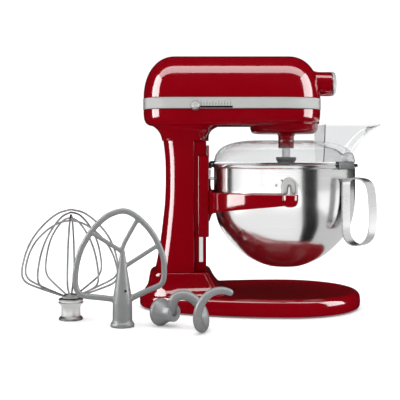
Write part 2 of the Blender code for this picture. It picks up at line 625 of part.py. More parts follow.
def make_motor_cradle(mats):
    """Carriers for the stator and the rear bearing, and the bearing plate over the planetary."""
    cradle = block("stator_cradle", (-14 * MM, -33 * MM, 306.6 * MM), (38 * MM, 33 * MM, 326 * MM), mats["black"])
    seat = disc("cradle_seat", 34.3 * MM, -30 * MM, 50 * MM, mats["black"], (0, 0, MOTOR_Z), "X")
    way = block("cradle_way", (-26 * MM, -20 * MM, 300 * MM), (26 * MM, 20 * MM, 312 * MM), mats["black"])
    combine(cradle, [seat, way])
    holder = block("rear_bearing_holder", (-56.5 * MM, -16 * MM, 306.6 * MM), (-49.5 * MM, 16 * MM, 356 * MM),
                   mats["satin"])
    bore = disc("holder_bore", 9.3 * MM, -60 * MM, -45 * MM, mats["satin"], (0, 0, MOTOR_Z), "X", 24)
    combine(holder, [bore])
    disc("gearbox_plate", 54.2 * MM, 306.4 * MM, 311 * MM, mats["satin"], (BOWL_AXIS_X, 0, 0),
         segments=28, bore=9.3 * MM)
    bush = [(6.3, 306.4), (9, 306.4), (9, 311.4), (12, 311.4), (12, 316), (6.3, 316)]
    turn("shaft_bush", [(r * MM, z * MM) for r, z in bush], mats["brass"], (BOWL_AXIS_X, 0, 0), segments=20)
    support = block("hub_shaft_support", (128 * MM, -12 * MM, 311.4 * MM), (135 * MM, 12 * MM, 384 * MM),
                    mats["satin"])
    support_bore = disc("support_bore", 5.3 * MM, 120 * MM, 140 * MM, mats["satin"], (0, 0, HUB_Z), "X", 20)
    combine(support, [support_bore])


# ---------------------------------------------------------------- hub front

def make_hub_front(mats):
    """The hinged hub cap and the knob that clamps an attachment."""
    profile = [(0, 244.4), (19.8, 244.4), (20.1, 246), (19.6, 248.6), (16, 250.6), (9, 251.5), (0, 251.7)]
    cap = turn("hub_cap", [(r * MM, x * MM) for r, x in profile], mats["satin"], (0, 0, HUB_Z), "X")
    lug = block("cap_lug", (244.6 * MM, -5 * MM, HUB_Z + 17 * MM), (248 * MM, 5 * MM, HUB_Z + 23.5 * MM),
                mats["satin"])
    combine(cap, [lug], "UNION")
    attach(joint_empty("hub_cap_axis", HUB_CAP_AXIS), [cap])
    knob_profile = [(0, 15), (3, 15), (3, 22.5), (7, 22.5), (10.5, 25), (11, 28), (11, 36), (9.5, 38), (0, 38)]
    knob = turn("hub_knob", [(r * MM, y * MM) for r, y in knob_profile], mats["black"],
                (230 * MM, 0, HUB_Z), "Y", 20)
    attach(joint_empty("hub_knob_axis", Vector((230 * MM, 0, HUB_Z))), [knob])


# ---------------------------------------------------------------- bowl carriage

def ring_arc(radius, degrees, z):
    angle = math.radians(degrees)
    return Vector((BOWL_AXIS_X + radius * math.cos(angle), radius * math.sin(angle), z))


def make_yoke(mats):
    """The carriage that slides on the column, with two arms that hold the bowl by its sides."""
    front = block("bowl_yoke", (COLUMN_FRONT_X + 0.4 * MM, -38 * MM, 119 * MM), (38.4 * MM, 38 * MM, 270 * MM),
                  mats["paint"])
    pieces = []
    for side in (-1, 1):
        faces = sorted((side * 35.6 * MM, side * 39.5 * MM))
        pieces.append(block(f"yoke_flank_{side}", (20.4 * MM, faces[0], 119 * MM),
                            (37 * MM, faces[1], 253 * MM), mats["paint"]))
        pieces.append(yoke_arm(side, mats))
        pieces.append(locating_pin(side, mats))
        pieces.append(turn(f"yoke_cup_{side}", [(0, 173.5 * MM), (7 * MM, 174.2 * MM), (11.5 * MM, 178 * MM),
                                               (13 * MM, 184 * MM), (13 * MM, 193.5 * MM), (0, 193.5 * MM)],
                           mats["paint"], (162 * MM, side * 133.2 * MM, 0), segments=14))
    combine(front, pieces, "UNION")
    fork_z = CRANK_Z + LIFT_TRAVEL / 2
    fingers = [block(f"fork_{k}", (-20 * MM, -8 * MM, fork_z + low * MM), (36 * MM, 2 * MM, fork_z + high * MM),
                     mats["steel"]) for k, (low, high) in enumerate(((4.2, 8.2), (-8.2, -4.2)))]
    combine(front, fingers, "UNION")
    return front


def yoke_arm(side, mats):
    """One curved arm, deep at the carriage and shallower at its end."""
    rings = []
    steps = 8
    for k in range(steps + 1):
        t = k / steps
        degrees = 180 - side * (8 + 80 * t)
        bottom = (155 + 21 * t ** 0.8) * MM
        inner = (124.6 + 0.6 * t) * MM
        outer = (131.5 + 6 * t) * MM
        rings.append([ring_arc(inner, degrees, bottom + 2 * MM), ring_arc(outer, degrees, bottom),
                      ring_arc(outer, degrees, 191.8 * MM), ring_arc(outer - 2 * MM, degrees, 193.3 * MM),
                      ring_arc(inner, degrees, 193.3 * MM)])
    return loft(f"yoke_arm_{side}", rings, mats["paint"])


def locating_pin(side, mats):
    """The tapered pin on an arm's end, which the bowl's ear drops over."""
    profile = [(0, 190), (4.5, 190), (4.5, 197), (3, 205), (1.5, 208.5), (0, 208.5)]
    return turn(f"locating_pin_{side}", [(r * MM, z * MM) for r, z in profile], mats["paint"],
                (162 * MM, side * 127.3 * MM, 0), segments=8)


def make_latch(mats):
    """The spring latch on the carriage behind the bowl, and the bowl's rear stud."""
    loop = ((-9, 229), (-7, 221), (-6.5, 212), (-4, 205.5), (0, 203), (4, 205.5), (6.5, 212), (7, 221), (9, 229))
    rod("latch_spring", [(40.4 * MM, y * MM, z * MM) for y, z in loop], 1.2 * MM, mats["steel"], sides=6)
    stud_profile = [(0, 39.9), (4, 39.9), (4, 41.5), (2, 41.5), (2, 46.3), (0, 46.3)]
    turn("rear_stud", [(r * MM, x * MM) for r, x in stud_profile], mats["steel"], (0, 0, 214 * MM), "X", 12)


def make_lift_lever(mats):
    """The hand lever, its shaft through the column and the crank with its pin."""
    line = (CRANK_X, 0, CRANK_Z)
    shaft = disc("lever_shaft", 5.4 * MM, 6 * MM, 49.5 * MM, mats["steel"], line, "Y", 16)
    angle = math.pi - CRANK_HALF_SWING
    pin_x = CRANK_X + CRANK_RADIUS * math.cos(angle)
    pin_z = CRANK_Z + CRANK_RADIUS * math.sin(angle)
    crank = rod("lift_crank", [(CRANK_X, 7 * MM, CRANK_Z), (pin_x, 7 * MM, pin_z)], 6.5 * MM, mats["steel"],
                sides=8, flatten=0.45)
    pin = disc("crank_pin", 3 * MM, -7 * MM, 7 * MM, mats["steel"], (pin_x, 0, pin_z), "Y", 12)
    combine(shaft, [crank, pin], "UNION")
    lever_path = [(CRANK_X, 53.5 * MM, CRANK_Z - 10 * MM), (CRANK_X, 53.5 * MM, CRANK_Z + 30 * MM),
                  (CRANK_X - 2 * MM, 56 * MM, CRANK_Z + 55 * MM), (CRANK_X - 6 * MM, 60 * MM, CRANK_Z + 74 * MM)]
    lever = rod("lift_lever", lever_path, [7.5 * MM, 7 * MM, 5 * MM, 4.5 * MM], mats["satin"], sides=10,
                flatten=0.5)
    grip_profile = [(0, -10), (6, -9), (9.5, -5), (10.5, 0), (9.5, 5), (6, 9), (0, 10)]
    grip = turn("lever_grip", [(r * MM, z * MM) for r, z in grip_profile], mats["black"],
                (CRANK_X - 8 * MM, 62 * MM, CRANK_Z + 84.6 * MM), segments=SMALL_ROUND)
    attach(joint_empty("lift_lever_axis", Vector(line)), [shaft, lever, grip])


# ---------------------------------------------------------------- bowl

BOWL_PROFILE = [(44, 74.5), (67, 87.6), (90.6, 108.8), (104.4, 127.5), (112.6, 145), (117.2, 171),
                (118, 232.5)]


def make_bowl(mats):
    """The steel bowl: an even wall with a shallow foot and a rolled rim."""
    wall = BOWL_WALL / MM
    outside = [(0, 70.6), (26, 69.4), (30, 68.6), (34, 70.4), *BOWL_PROFILE,
               (RIM_RADIUS / MM, 233.6), (RIM_RADIUS / MM + 0.4, 236.3), (RIM_RADIUS / MM - 0.3, RIM_Z / MM - 0.2),
               (119.4, RIM_Z / MM), (118 - wall, 237.6)]
    inside = [(r - wall, z + 0.5 * wall * (1 if z > 120 else 1.9)) for r, z in reversed(BOWL_PROFILE)]
    inside += [(30, 72.4), (0, 72.2)]
    profile = [(r * MM, z * MM) for r, z in outside + inside]
    return turn("bowl", profile, mats["steel"], (BOWL_AXIS_X, 0, 0), segments=30)


def make_ears(mats):
    """The arched brackets on the bowl's sides that drop over the carriage's pins."""
    for side, name in ((-1, "bowl_ear_left"), (1, "bowl_ear_right")):
        faces = sorted((side * 118.9 * MM, side * 133 * MM))
        outer = arch_prism(name, 12.3 * MM, faces, mats)
        inner = arch_prism(name + "_hollow", 9.3 * MM, sorted((side * 122.0 * MM, side * 140 * MM)), mats,
                           extra=2 * MM)
        combine(outer, [inner])


def arch_prism(name, half_width, faces, mats, extra=0.0):
    """A block with a half-round top, standing on the carriage arm."""
    low_z = 194.3 * MM - extra
    spring_z = 206.4 * MM
    outline = [(-half_width, low_z), (half_width, low_z)]
    for k in range(9):
        angle = math.pi * k / 8
        outline.append((half_width * math.cos(angle), spring_z + half_width * math.sin(angle)))
    rings = [[Vector((162 * MM + x, y, z)) for x, z in outline] for y in faces]
    return loft(name, rings, mats["satin"])


def make_handle(mats):
    """A closed strap loop standing out from the bowl's wall."""
    loop = [(119.9, 150), (119.9, 175), (119.9, 200), (121, 212), (128, 216.5), (140, 217), (153, 215),
            (162, 208), (166, 195), (168, 175), (168.4, 155), (167.5, 138), (163, 124), (154, 115), (142, 111.5),
            (131, 114), (122.5, 123), (119.9, 135)]
    points = [Vector((r, z)) * MM for r, z in loop]
    width, thickness = 25 * MM, 2.4 * MM
    outward = Vector((math.cos(HANDLE_AZIMUTH), math.sin(HANDLE_AZIMUTH), 0))
    across = Vector((-outward.y, outward.x, 0))
    rings = []
    for i, point in enumerate(points):
        tangent = (points[(i + 1) % len(points)] - points[i - 1]).normalized()
        normal = Vector((tangent.y, -tangent.x))
        ring = []
        for side, offset in ((-1, -0.5), (1, -0.5), (1, 0.5), (-1, 0.5)):
            place = point + normal * offset * thickness
            ring.append(Vector((BOWL_AXIS_X, 0, place.y)) + outward * place.x + across * side * width / 2)
        rings.append(ring)
    return loft("bowl_handle", rings, mats["steel"], closed=True)


# ---------------------------------------------------------------- pouring shield

def shield_point(forward, across, z):
    """A point in the shield's own directions: forward along its chute, and across it."""
    c, s = math.cos(SHIELD_TURN), math.sin(SHIELD_TURN)
    return Vector((BOWL_AXIS_X + c * forward - s * across, s * forward + c * across, z))


def chute_solid(name, mats, inset, low_extra):
    """The chute as a solid: upright back, sloping front and an open top that juts forward."""
    stations = [(243, 60, 104, 30), (262, 60, 113, 34), (280, 60, 126, 38), (294, 60, 141, 40), (304, 60, 156, 41)]
    rings = []
    for k, (z, back, front, half) in enumerate(stations):
        height = z * MM
        if k == 0:
            height -= low_extra
        if k == len(stations) - 1:
            height += 3 * MM if inset else 0
        b, f, h = back * MM + inset, front * MM - inset, half * MM - inset
        rings.append([shield_point(b, -h, height), shield_point(f - 6 * MM, -h, height),
                      shield_point(f, -h + 8 * MM, height), shield_point(f, h - 8 * MM, height),
                      shield_point(f - 6 * MM, h, height), shield_point(b, h, height)])
    return loft(name, rings, mats["clear"])


def make_shield(mats):
    """The clear pouring shield: a ring-shaped dome on the bowl's rim with a chute."""
    outside = [(117.8, 241), (117.8, 246), (112.5, 257.5), (102, 267.4), (85.9, 273.6), (60, 277.7)]
    inside = [(60, 275.5), (85.2, 271.4), (100.8, 265.4), (110.2, 256.2), (115.4, 245.6), (115.4, 241)]
    profile = [(r * MM, z * MM) for r, z in outside + inside]
    shield = turn("pouring_shield", profile, mats["clear"], (BOWL_AXIS_X, 0, 0), segments=36)
    combine(shield, [chute_solid("chute_outside", mats, 0.0, 0.0)], "UNION")
    combine(shield, [chute_solid("chute_inside", mats, 2 * MM, 6 * MM)])
    return shield


def make_clips(mats):
    """Rubber clips that hold the shield on the bowl's rim."""
    for name, degrees, half_turn in (("shield_clip_rear", 183, 5), ("shield_clip_front", -42, 10)):
        outline = [(118.3, 239.4), (123.0, 239.4), (123.0, 231), (126, 231), (126, 241.5), (124.2, 243.6),
                   (118.3, 243.6)]
        rings = []
        for k in range(5):
            angle = math.radians(degrees + half_turn * (k / 2 - 1))
            rings.append([Vector((BOWL_AXIS_X + r * MM * math.cos(angle), r * MM * math.sin(angle), z * MM))
                          for r, z in outline])
        loft(name, rings, mats["rubber"])


# ---------------------------------------------------------------- mixing tools

BEATER_FRAME = [(-12, 43), (-57, 46), (-67, 54), (-69.6, 69), (-67.8, 91), (-61.9, 113.3), (-54.4, 128.2),
                (-44, 144.5), (-29.1, 159.4), (-15.8, 167.6), (0, 171.5), (12.5, 168.3), (25.9, 158.7), (40.7, 143),
                (52.6, 123.7), (60.8, 101.4), (62.3, 83.6), (61.6, 68.7), (55.6, 59.8), (33.3, 50.8), (8, 39)]
BEATER_SPOKES = [[(-2, 112), (-44, 139)], [(-1, 112), (4, 126), (21, 156)], [(2, 88), (52, 119)]]


def make_flat_beater(name, mats, material, scale, place):
    """A flat beater standing on its hub, built about +Z and then placed."""
    def in_plane(points):
        return [(x * MM, 0, z * MM) for x, z in points]

    hub_profile = [(0, 0), (17.8, 0), (17.8, 5), (15, 9), (15, 37), (10.5, 46), (6, 86), (3.4, 112), (0, 114)]
    hub = turn(name, [(r * MM, z * MM) for r, z in hub_profile], material, segments=16)
    frame = rod(name + "_frame", in_plane(BEATER_FRAME), 4.3 * MM, material, sides=6)
    spokes = [rod(f"{name}_spoke_{k}", in_plane(points), 3.2 * MM, material, sides=6)
              for k, points in enumerate(BEATER_SPOKES)]
    socket = disc(name + "_socket", 7.2 * MM, -2 * MM, 24 * MM, material, segments=14)
    slot = block(name + "_slot", (-11 * MM, -2.6 * MM, -2 * MM), (11 * MM, 2.6 * MM, 14 * MM), material)
    for piece in [hub, frame, *spokes, socket, slot]:
        piece.data.transform(place @ Matrix.Diagonal((scale, scale, scale, 1)))
    combine(hub, [frame, *spokes], "UNION")
    combine(hub, [socket, slot])
    return hub


def make_whisk(mats, place):
    """A wire whisk standing on its hub: a turned hub and one cage of crossed wire loops."""
    hub_profile = [(7.2, 0), (17.5, 0), (17.5, 4), (14, 7), (14, 20), (17, 24), (19, 29), (13, 33), (7.2, 33)]
    turn("whisk_hub", [(r * MM, z * MM) for r, z in hub_profile], mats["tool"], place, segments=16)
    half_loop = [(8, 35.4), (44, 49), (70, 62), (76, 76), (69, 108), (47, 143), (20, 164), (0, 170)]
    base_ring = disc("whisk_wires", 13.5 * MM, 33.4 * MM, 37.5 * MM, mats["steel"], place, segments=18)
    loops = []
    for k in range(WHISK_LOOPS):
        angle = math.pi * k / WHISK_LOOPS + math.radians(22)
        drop = WHISK_APEX_STEP * k
        path = [(r, z - drop * (z / 170) ** 2) for r, z in half_loop]
        full = path + [(-r, z) for r, z in reversed(path[:-1])]
        wire = [(place[0] + r * MM * math.cos(angle), place[1] + r * MM * math.sin(angle), z * MM)
                for r, z in full]
        loops.append(rod(f"whisk_loop_{k}", wire, 1.35 * MM, mats["steel"], sides=5))
    combine(base_ring, loops, "UNION")
    return base_ring


def hook_path():
    """The dough hook's rod: one and a third turns of a helix whose axis lies near the worktop."""
    start, end = Vector((-18, -189.5, 22)), Vector((60, -262, 41))
    direction = (end - start).normalized()
    side = Vector((0, 0, 1)).cross(direction).normalized()
    rise = direction.cross(side)
    points = []
    steps = 22
    for k in range(steps + 1):
        t = k / steps
        angle = math.radians(-75 + 480 * t)
        radius = 5 + 20 * min(1, t / 0.2)
        centre = start.lerp(end, t)
        points.append((centre + radius * (math.cos(angle) * rise + math.sin(angle) * side)) * MM)
    return points


def make_dough_hook(mats):
    """The spiral dough hook lying on its side."""
    points = hook_path()
    radii = [(7.2 - 2.6 * (k / (len(points) - 1)) ** 3) * MM for k in range(len(points))]
    hook = rod("dough_hook", points, radii, mats["tool"], sides=8)
    hub_profile = [(0, -24), (17, -24), (20.5, -21), (20.5, -15), (17.5, -11), (16, -2), (14, 8), (0, 8)]
    hub = turn("hook_hub", [(r * MM, z * MM) for r, z in hub_profile], mats["tool"], segments=18)
    heading = (Vector((74, -66, 6))).to_track_quat("Z", "Y").to_matrix().to_4x4()
    hub.data.transform(Matrix.Translation(HOOK_HUB) @ heading)
    combine(hook, [hub], "UNION")
    socket = disc("hook_socket", 7.2 * MM, -26 * MM, -2 * MM, mats["tool"], segments=20)
    socket.data.transform(Matrix.Translation(HOOK_HUB) @ heading)
    combine(hook, [socket])
    return hook


def make_tools(mats):
    upright = Matrix.Translation(BEATER_PLACE) @ Matrix.Rotation(math.radians(10), 4, "Z")
    make_flat_beater("flat_beater", mats, mats["tool"], 1.0, upright)
    upside_down = (Matrix.Translation((BOWL_AXIS_X, -ORBIT_RADIUS, 251 * MM)) @ Matrix.Rotation(math.pi, 4, "X"))
    make_flat_beater("fitted_beater", mats, mats["steel"], 0.94, upside_down)
    make_whisk(mats, WHISK_PLACE)
    make_dough_hook(mats)


def clear_scene():
    for obj in list(bpy.data.objects):
        bpy.data.objects.remove(obj, do_unlink=True)


def main():
    clear_scene()
    mats = make_materials()
    make_base(mats)
    make_base_plate(mats)
    make_feet(mats)
    make_cord_gland(mats)
    make_column(mats)
    make_rails(mats)
    make_lower_housing(mats)
    make_upper_housing(mats)
    make_trim_band(mats)
    make_speed_lever(mats)
    make_control_board(mats)
    make_ring_gear(mats)
    make_planetary(mats)
    make_tool_shaft(mats)
    make_hub_drive(mats)
    make_motor(mats)
    make_motor_cradle(mats)
    make_hub_front(mats)
    make_yoke(mats)
    make_latch(mats)
    make_lift_lever(mats)
    make_bowl(mats)
    make_ears(mats)
    make_handle(mats)
    make_shield(mats)
    make_clips(mats)
    make_tools(mats)


main()
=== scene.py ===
"""The look of the red bowl-lift stand mixer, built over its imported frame.

Shapes are given in millimetres and turned into metres by the mesh helpers. +X is the front, +Z is up.
"""
import json
import math

import bmesh
import bpy
from mathutils import Matrix, Vector

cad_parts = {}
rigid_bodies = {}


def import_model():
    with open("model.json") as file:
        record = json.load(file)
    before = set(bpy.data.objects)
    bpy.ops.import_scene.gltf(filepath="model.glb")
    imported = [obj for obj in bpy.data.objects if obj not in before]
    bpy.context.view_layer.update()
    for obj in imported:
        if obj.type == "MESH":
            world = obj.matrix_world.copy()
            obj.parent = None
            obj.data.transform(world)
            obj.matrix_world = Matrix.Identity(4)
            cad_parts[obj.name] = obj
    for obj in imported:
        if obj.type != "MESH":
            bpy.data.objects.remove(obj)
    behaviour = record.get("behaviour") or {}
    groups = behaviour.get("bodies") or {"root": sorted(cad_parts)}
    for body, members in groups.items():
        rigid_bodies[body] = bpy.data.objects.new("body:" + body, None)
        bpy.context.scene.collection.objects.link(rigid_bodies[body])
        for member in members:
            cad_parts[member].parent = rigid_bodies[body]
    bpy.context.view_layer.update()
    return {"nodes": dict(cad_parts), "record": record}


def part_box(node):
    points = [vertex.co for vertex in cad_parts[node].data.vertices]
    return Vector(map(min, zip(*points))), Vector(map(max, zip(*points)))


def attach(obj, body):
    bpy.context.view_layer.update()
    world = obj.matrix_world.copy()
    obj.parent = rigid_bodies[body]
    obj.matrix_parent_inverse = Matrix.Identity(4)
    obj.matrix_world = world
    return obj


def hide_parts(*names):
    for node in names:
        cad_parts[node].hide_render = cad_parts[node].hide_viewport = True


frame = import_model()

MM = 0.001


def low(node, axis):
    """A node's lowest coordinate along an axis, in millimetres."""
    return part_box(node)[0]["XYZ".index(axis)] / MM


def high(node, axis):
    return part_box(node)[1]["XYZ".index(axis)] / MM


def middle(node, axis):
    return (low(node, axis) + high(node, axis)) / 2


# Driving sizes, from the frame
HEAD_TOP = high("upper_housing", "Z")
HEAD_REAR = low("upper_housing", "X")
HEAD_HALF_WIDTH = high("upper_housing", "Y")
HEAD_FRONT = 225.0
BAND_BOTTOM = low("trim_band", "Z")
BAND_TOP = high("trim_band", "Z")
BOWL_AXIS = middle("bowl", "X")
RIM_TOP = high("bowl", "Z")
HUB_Z = middle("hub_cap", "Z") - 1.7
HUB_RADIUS = 20.2
COLUMN_FRONT = high("column", "X")
COLLAR_TOP = high("base", "Z")
ORBIT = 36.0
SHIELD_TURN = math.radians(5.5)
HANDLE_AZIMUTH = math.radians(-40)

WHISK_PLACE = (-176, -125)
BEATER_PLACE = (-91.5, -183, 0)
BEATER_TURN = math.radians(10)
FITTED_BEATER_TOP = 251
FITTED_BEATER_SCALE = 0.94
DARK_GAP = (math.radians(22), math.radians(48))
FLOOR_BOX = 4.4
FLOOR_BOX_Z = 0.002
LENS = 83.5
LENS_SHIFT = -0.125
CAMERA_PLACE = (0.0236, -1.560, 0.262)

SKY_LOW = 0.30
SKY_HIGH = 2.1
GLOSS_WORLD = 0.006

FINE = 128
ROUND = 64
SHARP = math.radians(32)


# ---------------------------------------------------------------- materials

class Nodes:
    """A small helper that wires the nodes of one material."""

    def __init__(self, name):
        self.material = bpy.data.materials.new(name)
        self.material.use_nodes = True
        self.tree = self.material.node_tree
        self.shader = self.tree.nodes["Principled BSDF"]
        self.place = self.tree.nodes.new("ShaderNodeTexCoord").outputs["Object"]

    def set(self, **values):
        for key, value in values.items():
            socket = self.shader.inputs[key.replace("_", " ").title().replace("Ior", "IOR")]
            socket.default_value = (*value, 1.0) if isinstance(value, tuple) else value
        return self

    def noise(self, scale, stretch=(1, 1, 1), detail=3.0):
        mapping = self.tree.nodes.new("ShaderNodeMapping")
        mapping.inputs["Scale"].default_value = stretch
        self.tree.links.new(self.place, mapping.inputs["Vector"])
        noise = self.tree.nodes.new("ShaderNodeTexNoise")
        noise.inputs["Scale"].default_value = scale
        noise.inputs["Detail"].default_value = detail
        self.tree.links.new(mapping.outputs["Vector"], noise.inputs["Vector"])
        return noise.outputs["Fac"]

    def ramp(self, source, first, second, start=0.35, end=0.65):
        ramp = self.tree.nodes.new("ShaderNodeValToRGB")
        ramp.color_ramp.elements[0].position = start
        ramp.color_ramp.elements[1].position = end
        ramp.color_ramp.elements[0].color = (*first, 1.0)
        ramp.color_ramp.elements[1].color = (*second, 1.0)
        self.tree.links.new(source, ramp.inputs["Fac"])
        return ramp.outputs["Color"]

    def color(self, source, first, second, start=0.35, end=0.65):
        self.tree.links.new(self.ramp(source, first, second, start, end), self.shader.inputs["Base Color"])
        return self

    def roughness(self, source, first, second):
        self.tree.links.new(self.ramp(source, (first,) * 3, (second,) * 3), self.shader.inputs["Roughness"])
        return self

    def bump(self, source, strength, distance=0.0002):
        bump = self.tree.nodes.new("ShaderNodeBump")
        bump.inputs["Strength"].default_value = strength
        bump.inputs["Distance"].default_value = distance
        self.tree.links.new(source, bump.inputs["Height"])
        self.tree.links.new(bump.outputs["Normal"], self.shader.inputs["Normal"])
        return self


def make_materials():
    """One procedural material for each slot of the record, and a few for details."""
    made = {}
    red = Nodes("red_paint").set(metallic=0.0, coat_weight=0.15, coat_roughness=0.02, specular_ior_level=0.5)
    red.color(red.noise(2600.0, detail=2.0), (0.20, 0.0, 0.0035), (0.245, 0.0, 0.005))
    red.roughness(red.noise(40.0), 0.07, 0.10).bump(red.noise(420.0), 0.006)
    made["red_paint"] = red.material

    satin = Nodes("satin_metal").set(metallic=1.0, anisotropic=0.4)
    grain = satin.noise(60.0, (1, 1, 40))
    satin.color(grain, (0.50, 0.50, 0.49), (0.56, 0.56, 0.55)).roughness(grain, 0.28, 0.36)
    satin.bump(grain, 0.015)
    made["satin_metal"] = satin.material

    steel = Nodes("polished_steel").set(metallic=1.0)
    rings = steel.noise(30.0, (0.4, 0.4, 60))
    steel.color(rings, (0.80, 0.80, 0.80), (0.86, 0.86, 0.86)).roughness(rings, 0.15, 0.21)
    steel.bump(rings, 0.01)
    made["polished_steel"] = steel.material

    brushed = Nodes("brushed_steel").set(metallic=1.0)
    lines = brushed.noise(70.0, (1, 1, 30))
    brushed.color(lines, (0.52, 0.52, 0.52), (0.56, 0.56, 0.56)).roughness(lines, 0.26, 0.30)
    made["brushed_steel"] = brushed.material

    # A darker copy of the steel: its dark grey is painted shade, standing in for the dim reflections on the thin
    # whisk wires.
    wire = Nodes("wire_steel").set(metallic=1.0)
    drawn = wire.noise(60.0)
    wire.color(drawn, (0.20, 0.20, 0.20), (0.32, 0.32, 0.32)).roughness(drawn, 0.25, 0.4)
    made["wire_steel"] = wire.material

    tool = Nodes("coated_tool")
    tool.set(metallic=0.1, coat_weight=0.05, coat_roughness=0.25, specular_ior_level=0.3)
    tool.color(tool.noise(900.0), (0.19, 0.192, 0.195), (0.235, 0.238, 0.241))
    tool.roughness(tool.noise(120.0), 0.36, 0.5)
    tool.bump(tool.noise(1400.0), 0.12)
    made["coated_tool"] = tool.material

    clear = Nodes("clear_plastic").set(transmission_weight=1.0, ior=1.33)
    clear.color(clear.noise(12.0), (0.875, 0.88, 0.883), (0.888, 0.892, 0.895))
    clear.roughness(clear.noise(60.0), 0.03, 0.06)
    made["clear_plastic"] = clear.material

    rubber = Nodes("dark_rubber")
    rubber.color(rubber.noise(300.0), (0.022, 0.023, 0.025), (0.045, 0.046, 0.05))
    rubber.roughness(rubber.noise(200.0), 0.5, 0.7).bump(rubber.noise(900.0), 0.2)
    made["dark_rubber"] = rubber.material

    black = Nodes("black_plastic").set(coat_weight=0.3, coat_roughness=0.05)
    black.color(black.noise(200.0), (0.012, 0.012, 0.013), (0.022, 0.022, 0.024))
    black.roughness(black.noise(100.0), 0.18, 0.28).bump(black.noise(500.0), 0.02)
    made["black_plastic"] = black.material

    board = Nodes("circuit_board")
    board.color(board.noise(120.0), (0.01, 0.12, 0.04), (0.02, 0.20, 0.08))
    board.roughness(board.noise(80.0), 0.4, 0.6)
    made["circuit_board"] = board.material

    copper = Nodes("copper").set(metallic=1.0)
    windings = copper.noise(80.0, (30, 1, 1))
    copper.color(windings, (0.60, 0.26, 0.11), (0.80, 0.42, 0.22)).roughness(windings, 0.25, 0.4)
    copper.bump(windings, 0.2)
    made["copper"] = copper.material

    core = Nodes("laminated_core").set(metallic=1.0)
    sheets = core.noise(50.0, (60, 1, 1))
    core.color(sheets, (0.16, 0.16, 0.17), (0.30, 0.30, 0.31)).roughness(sheets, 0.38, 0.55).bump(sheets, 0.2)
    made["laminated_core"] = core.material

    brass = Nodes("brass").set(metallic=1.0)
    brass.color(brass.noise(90.0), (0.64, 0.46, 0.18), (0.74, 0.56, 0.26))
    brass.roughness(brass.noise(60.0), 0.22, 0.36)
    made["brass"] = brass.material

    carbon = Nodes("carbon")
    carbon.color(carbon.noise(500.0), (0.02, 0.02, 0.02), (0.06, 0.06, 0.06))
    carbon.roughness(carbon.noise(90.0), 0.6, 0.8)
    made["carbon"] = carbon.material

    ink = Nodes("print_ink")
    ink.color(ink.noise(300.0), (0.03, 0.03, 0.03), (0.06, 0.06, 0.06)).roughness(ink.noise(90.0), 0.4, 0.6)
    made["print_ink"] = ink.material
    return made


MATERIALS = make_materials()


# ---------------------------------------------------------------- mesh helpers

def piece(name, bm, slot, body, nodes=(), bevel=0.0, sharp=SHARP):
    """Turn a bmesh in millimetres into a piece that rides on a body and stands for CAD nodes."""
    bmesh.ops.recalc_face_normals(bm, faces=bm.faces)
    bm.transform(Matrix.Scale(MM, 4))
    mesh = bpy.data.meshes.new(name)
    bm.to_mesh(mesh)
    bm.free()
    mesh.materials.append(MATERIALS[slot])
    mesh.shade_smooth()
    mesh.set_sharp_from_angle(angle=sharp)
    obj = bpy.data.objects.new(name, mesh)
    bpy.context.scene.collection.objects.link(obj)
    if bevel:
        modifier = obj.modifiers.new("edges", "BEVEL")
        modifier.width = bevel * MM
        modifier.segments = 3
        modifier.limit_method = "ANGLE"
        modifier.angle_limit = math.radians(40)
        modifier.harden_normals = True
    if body:
        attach(obj, body)
    if nodes:
        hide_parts(*nodes)
    return obj


def skin(bm, rings, closed=False, caps=(True, True)):
    """Add faces between rings that have the same number of points."""
    loops = [[bm.verts.new(point) for point in ring] for ring in rings]
    pairs = list(zip(loops, loops[1:])) + ([(loops[-1], loops[0])] if closed else [])
    for lower, upper in pairs:
        for i in range(len(lower)):
            j = (i + 1) % len(lower)
            bm.faces.new((lower[i], lower[j], upper[j], upper[i]))
    if not closed and caps[0]:
        bm.faces.new(list(reversed(loops[0])))
    if not closed and caps[1]:
        bm.faces.new(loops[-1])
    return bm


def blended(four, t):
    """The Catmull-Rom point at t between the second and third of four tuples of numbers."""
    return tuple(
        0.5 * (2 * b + (c - a) * t + (2 * a - 5 * b + 4 * c - d) * t * t
               + (3 * b - a - 3 * c + d) * t ** 3)
        for a, b, c, d in zip(*four))


def flow(stations, steps):
    """Catmull-Rom interpolation through tuples of numbers."""
    padded = [[2 * a - b for a, b in zip(stations[0], stations[1])], *stations,
              [2 * a - b for a, b in zip(stations[-1], stations[-2])]]
    result = []
    for i in range(1, len(padded) - 2):
        result += [blended(padded[i - 1:i + 3], k / steps) for k in range(steps)]
    result.append(tuple(stations[-1]))
    return result


def closed_flow(points, steps):
    """Catmull-Rom interpolation round a closed loop."""
    count = len(points)
    result = []
    for i in range(count):
        four = [points[(i + k - 1) % count] for k in range(4)]
        result += [blended(four, k / steps) for k in range(steps)]
    return result


def turned(bm, profile, origin=(0, 0, 0), axis="Z", segments=ROUND, matrix=None, closed=True):
    """Add a turned solid; profile is (radius, height) points, closed on itself or through the axis."""
    first = len(bm.verts)
    columns = []
    for radius, height in profile:
        if radius < 1e-6:
            columns.append([bm.verts.new((0, 0, height))] * segments)
        else:
            columns.append([bm.verts.new((radius * math.cos(a), radius * math.sin(a), height))
                            for a in (2 * math.pi * i / segments for i in range(segments))])
    for k in range(len(columns) if closed else len(columns) - 1):
        one, two = columns[k], columns[(k + 1) % len(columns)]
        for i in range(segments):
            j = (i + 1) % segments
            corners = list(dict.fromkeys((one[i], one[j], two[j], two[i])))
            if len(corners) > 2:
                bm.faces.new(corners)
    turns = {"Z": Matrix.Identity(4), "X": Matrix.Rotation(math.pi / 2, 4, "Y"),
             "Y": Matrix.Rotation(-math.pi / 2, 4, "X")}
    move = matrix if matrix else Matrix.Translation(origin) @ turns[axis]
    bm.verts.ensure_lookup_table()
    for vert in bm.verts[first:]:
        vert.co = move @ vert.co
    return bm


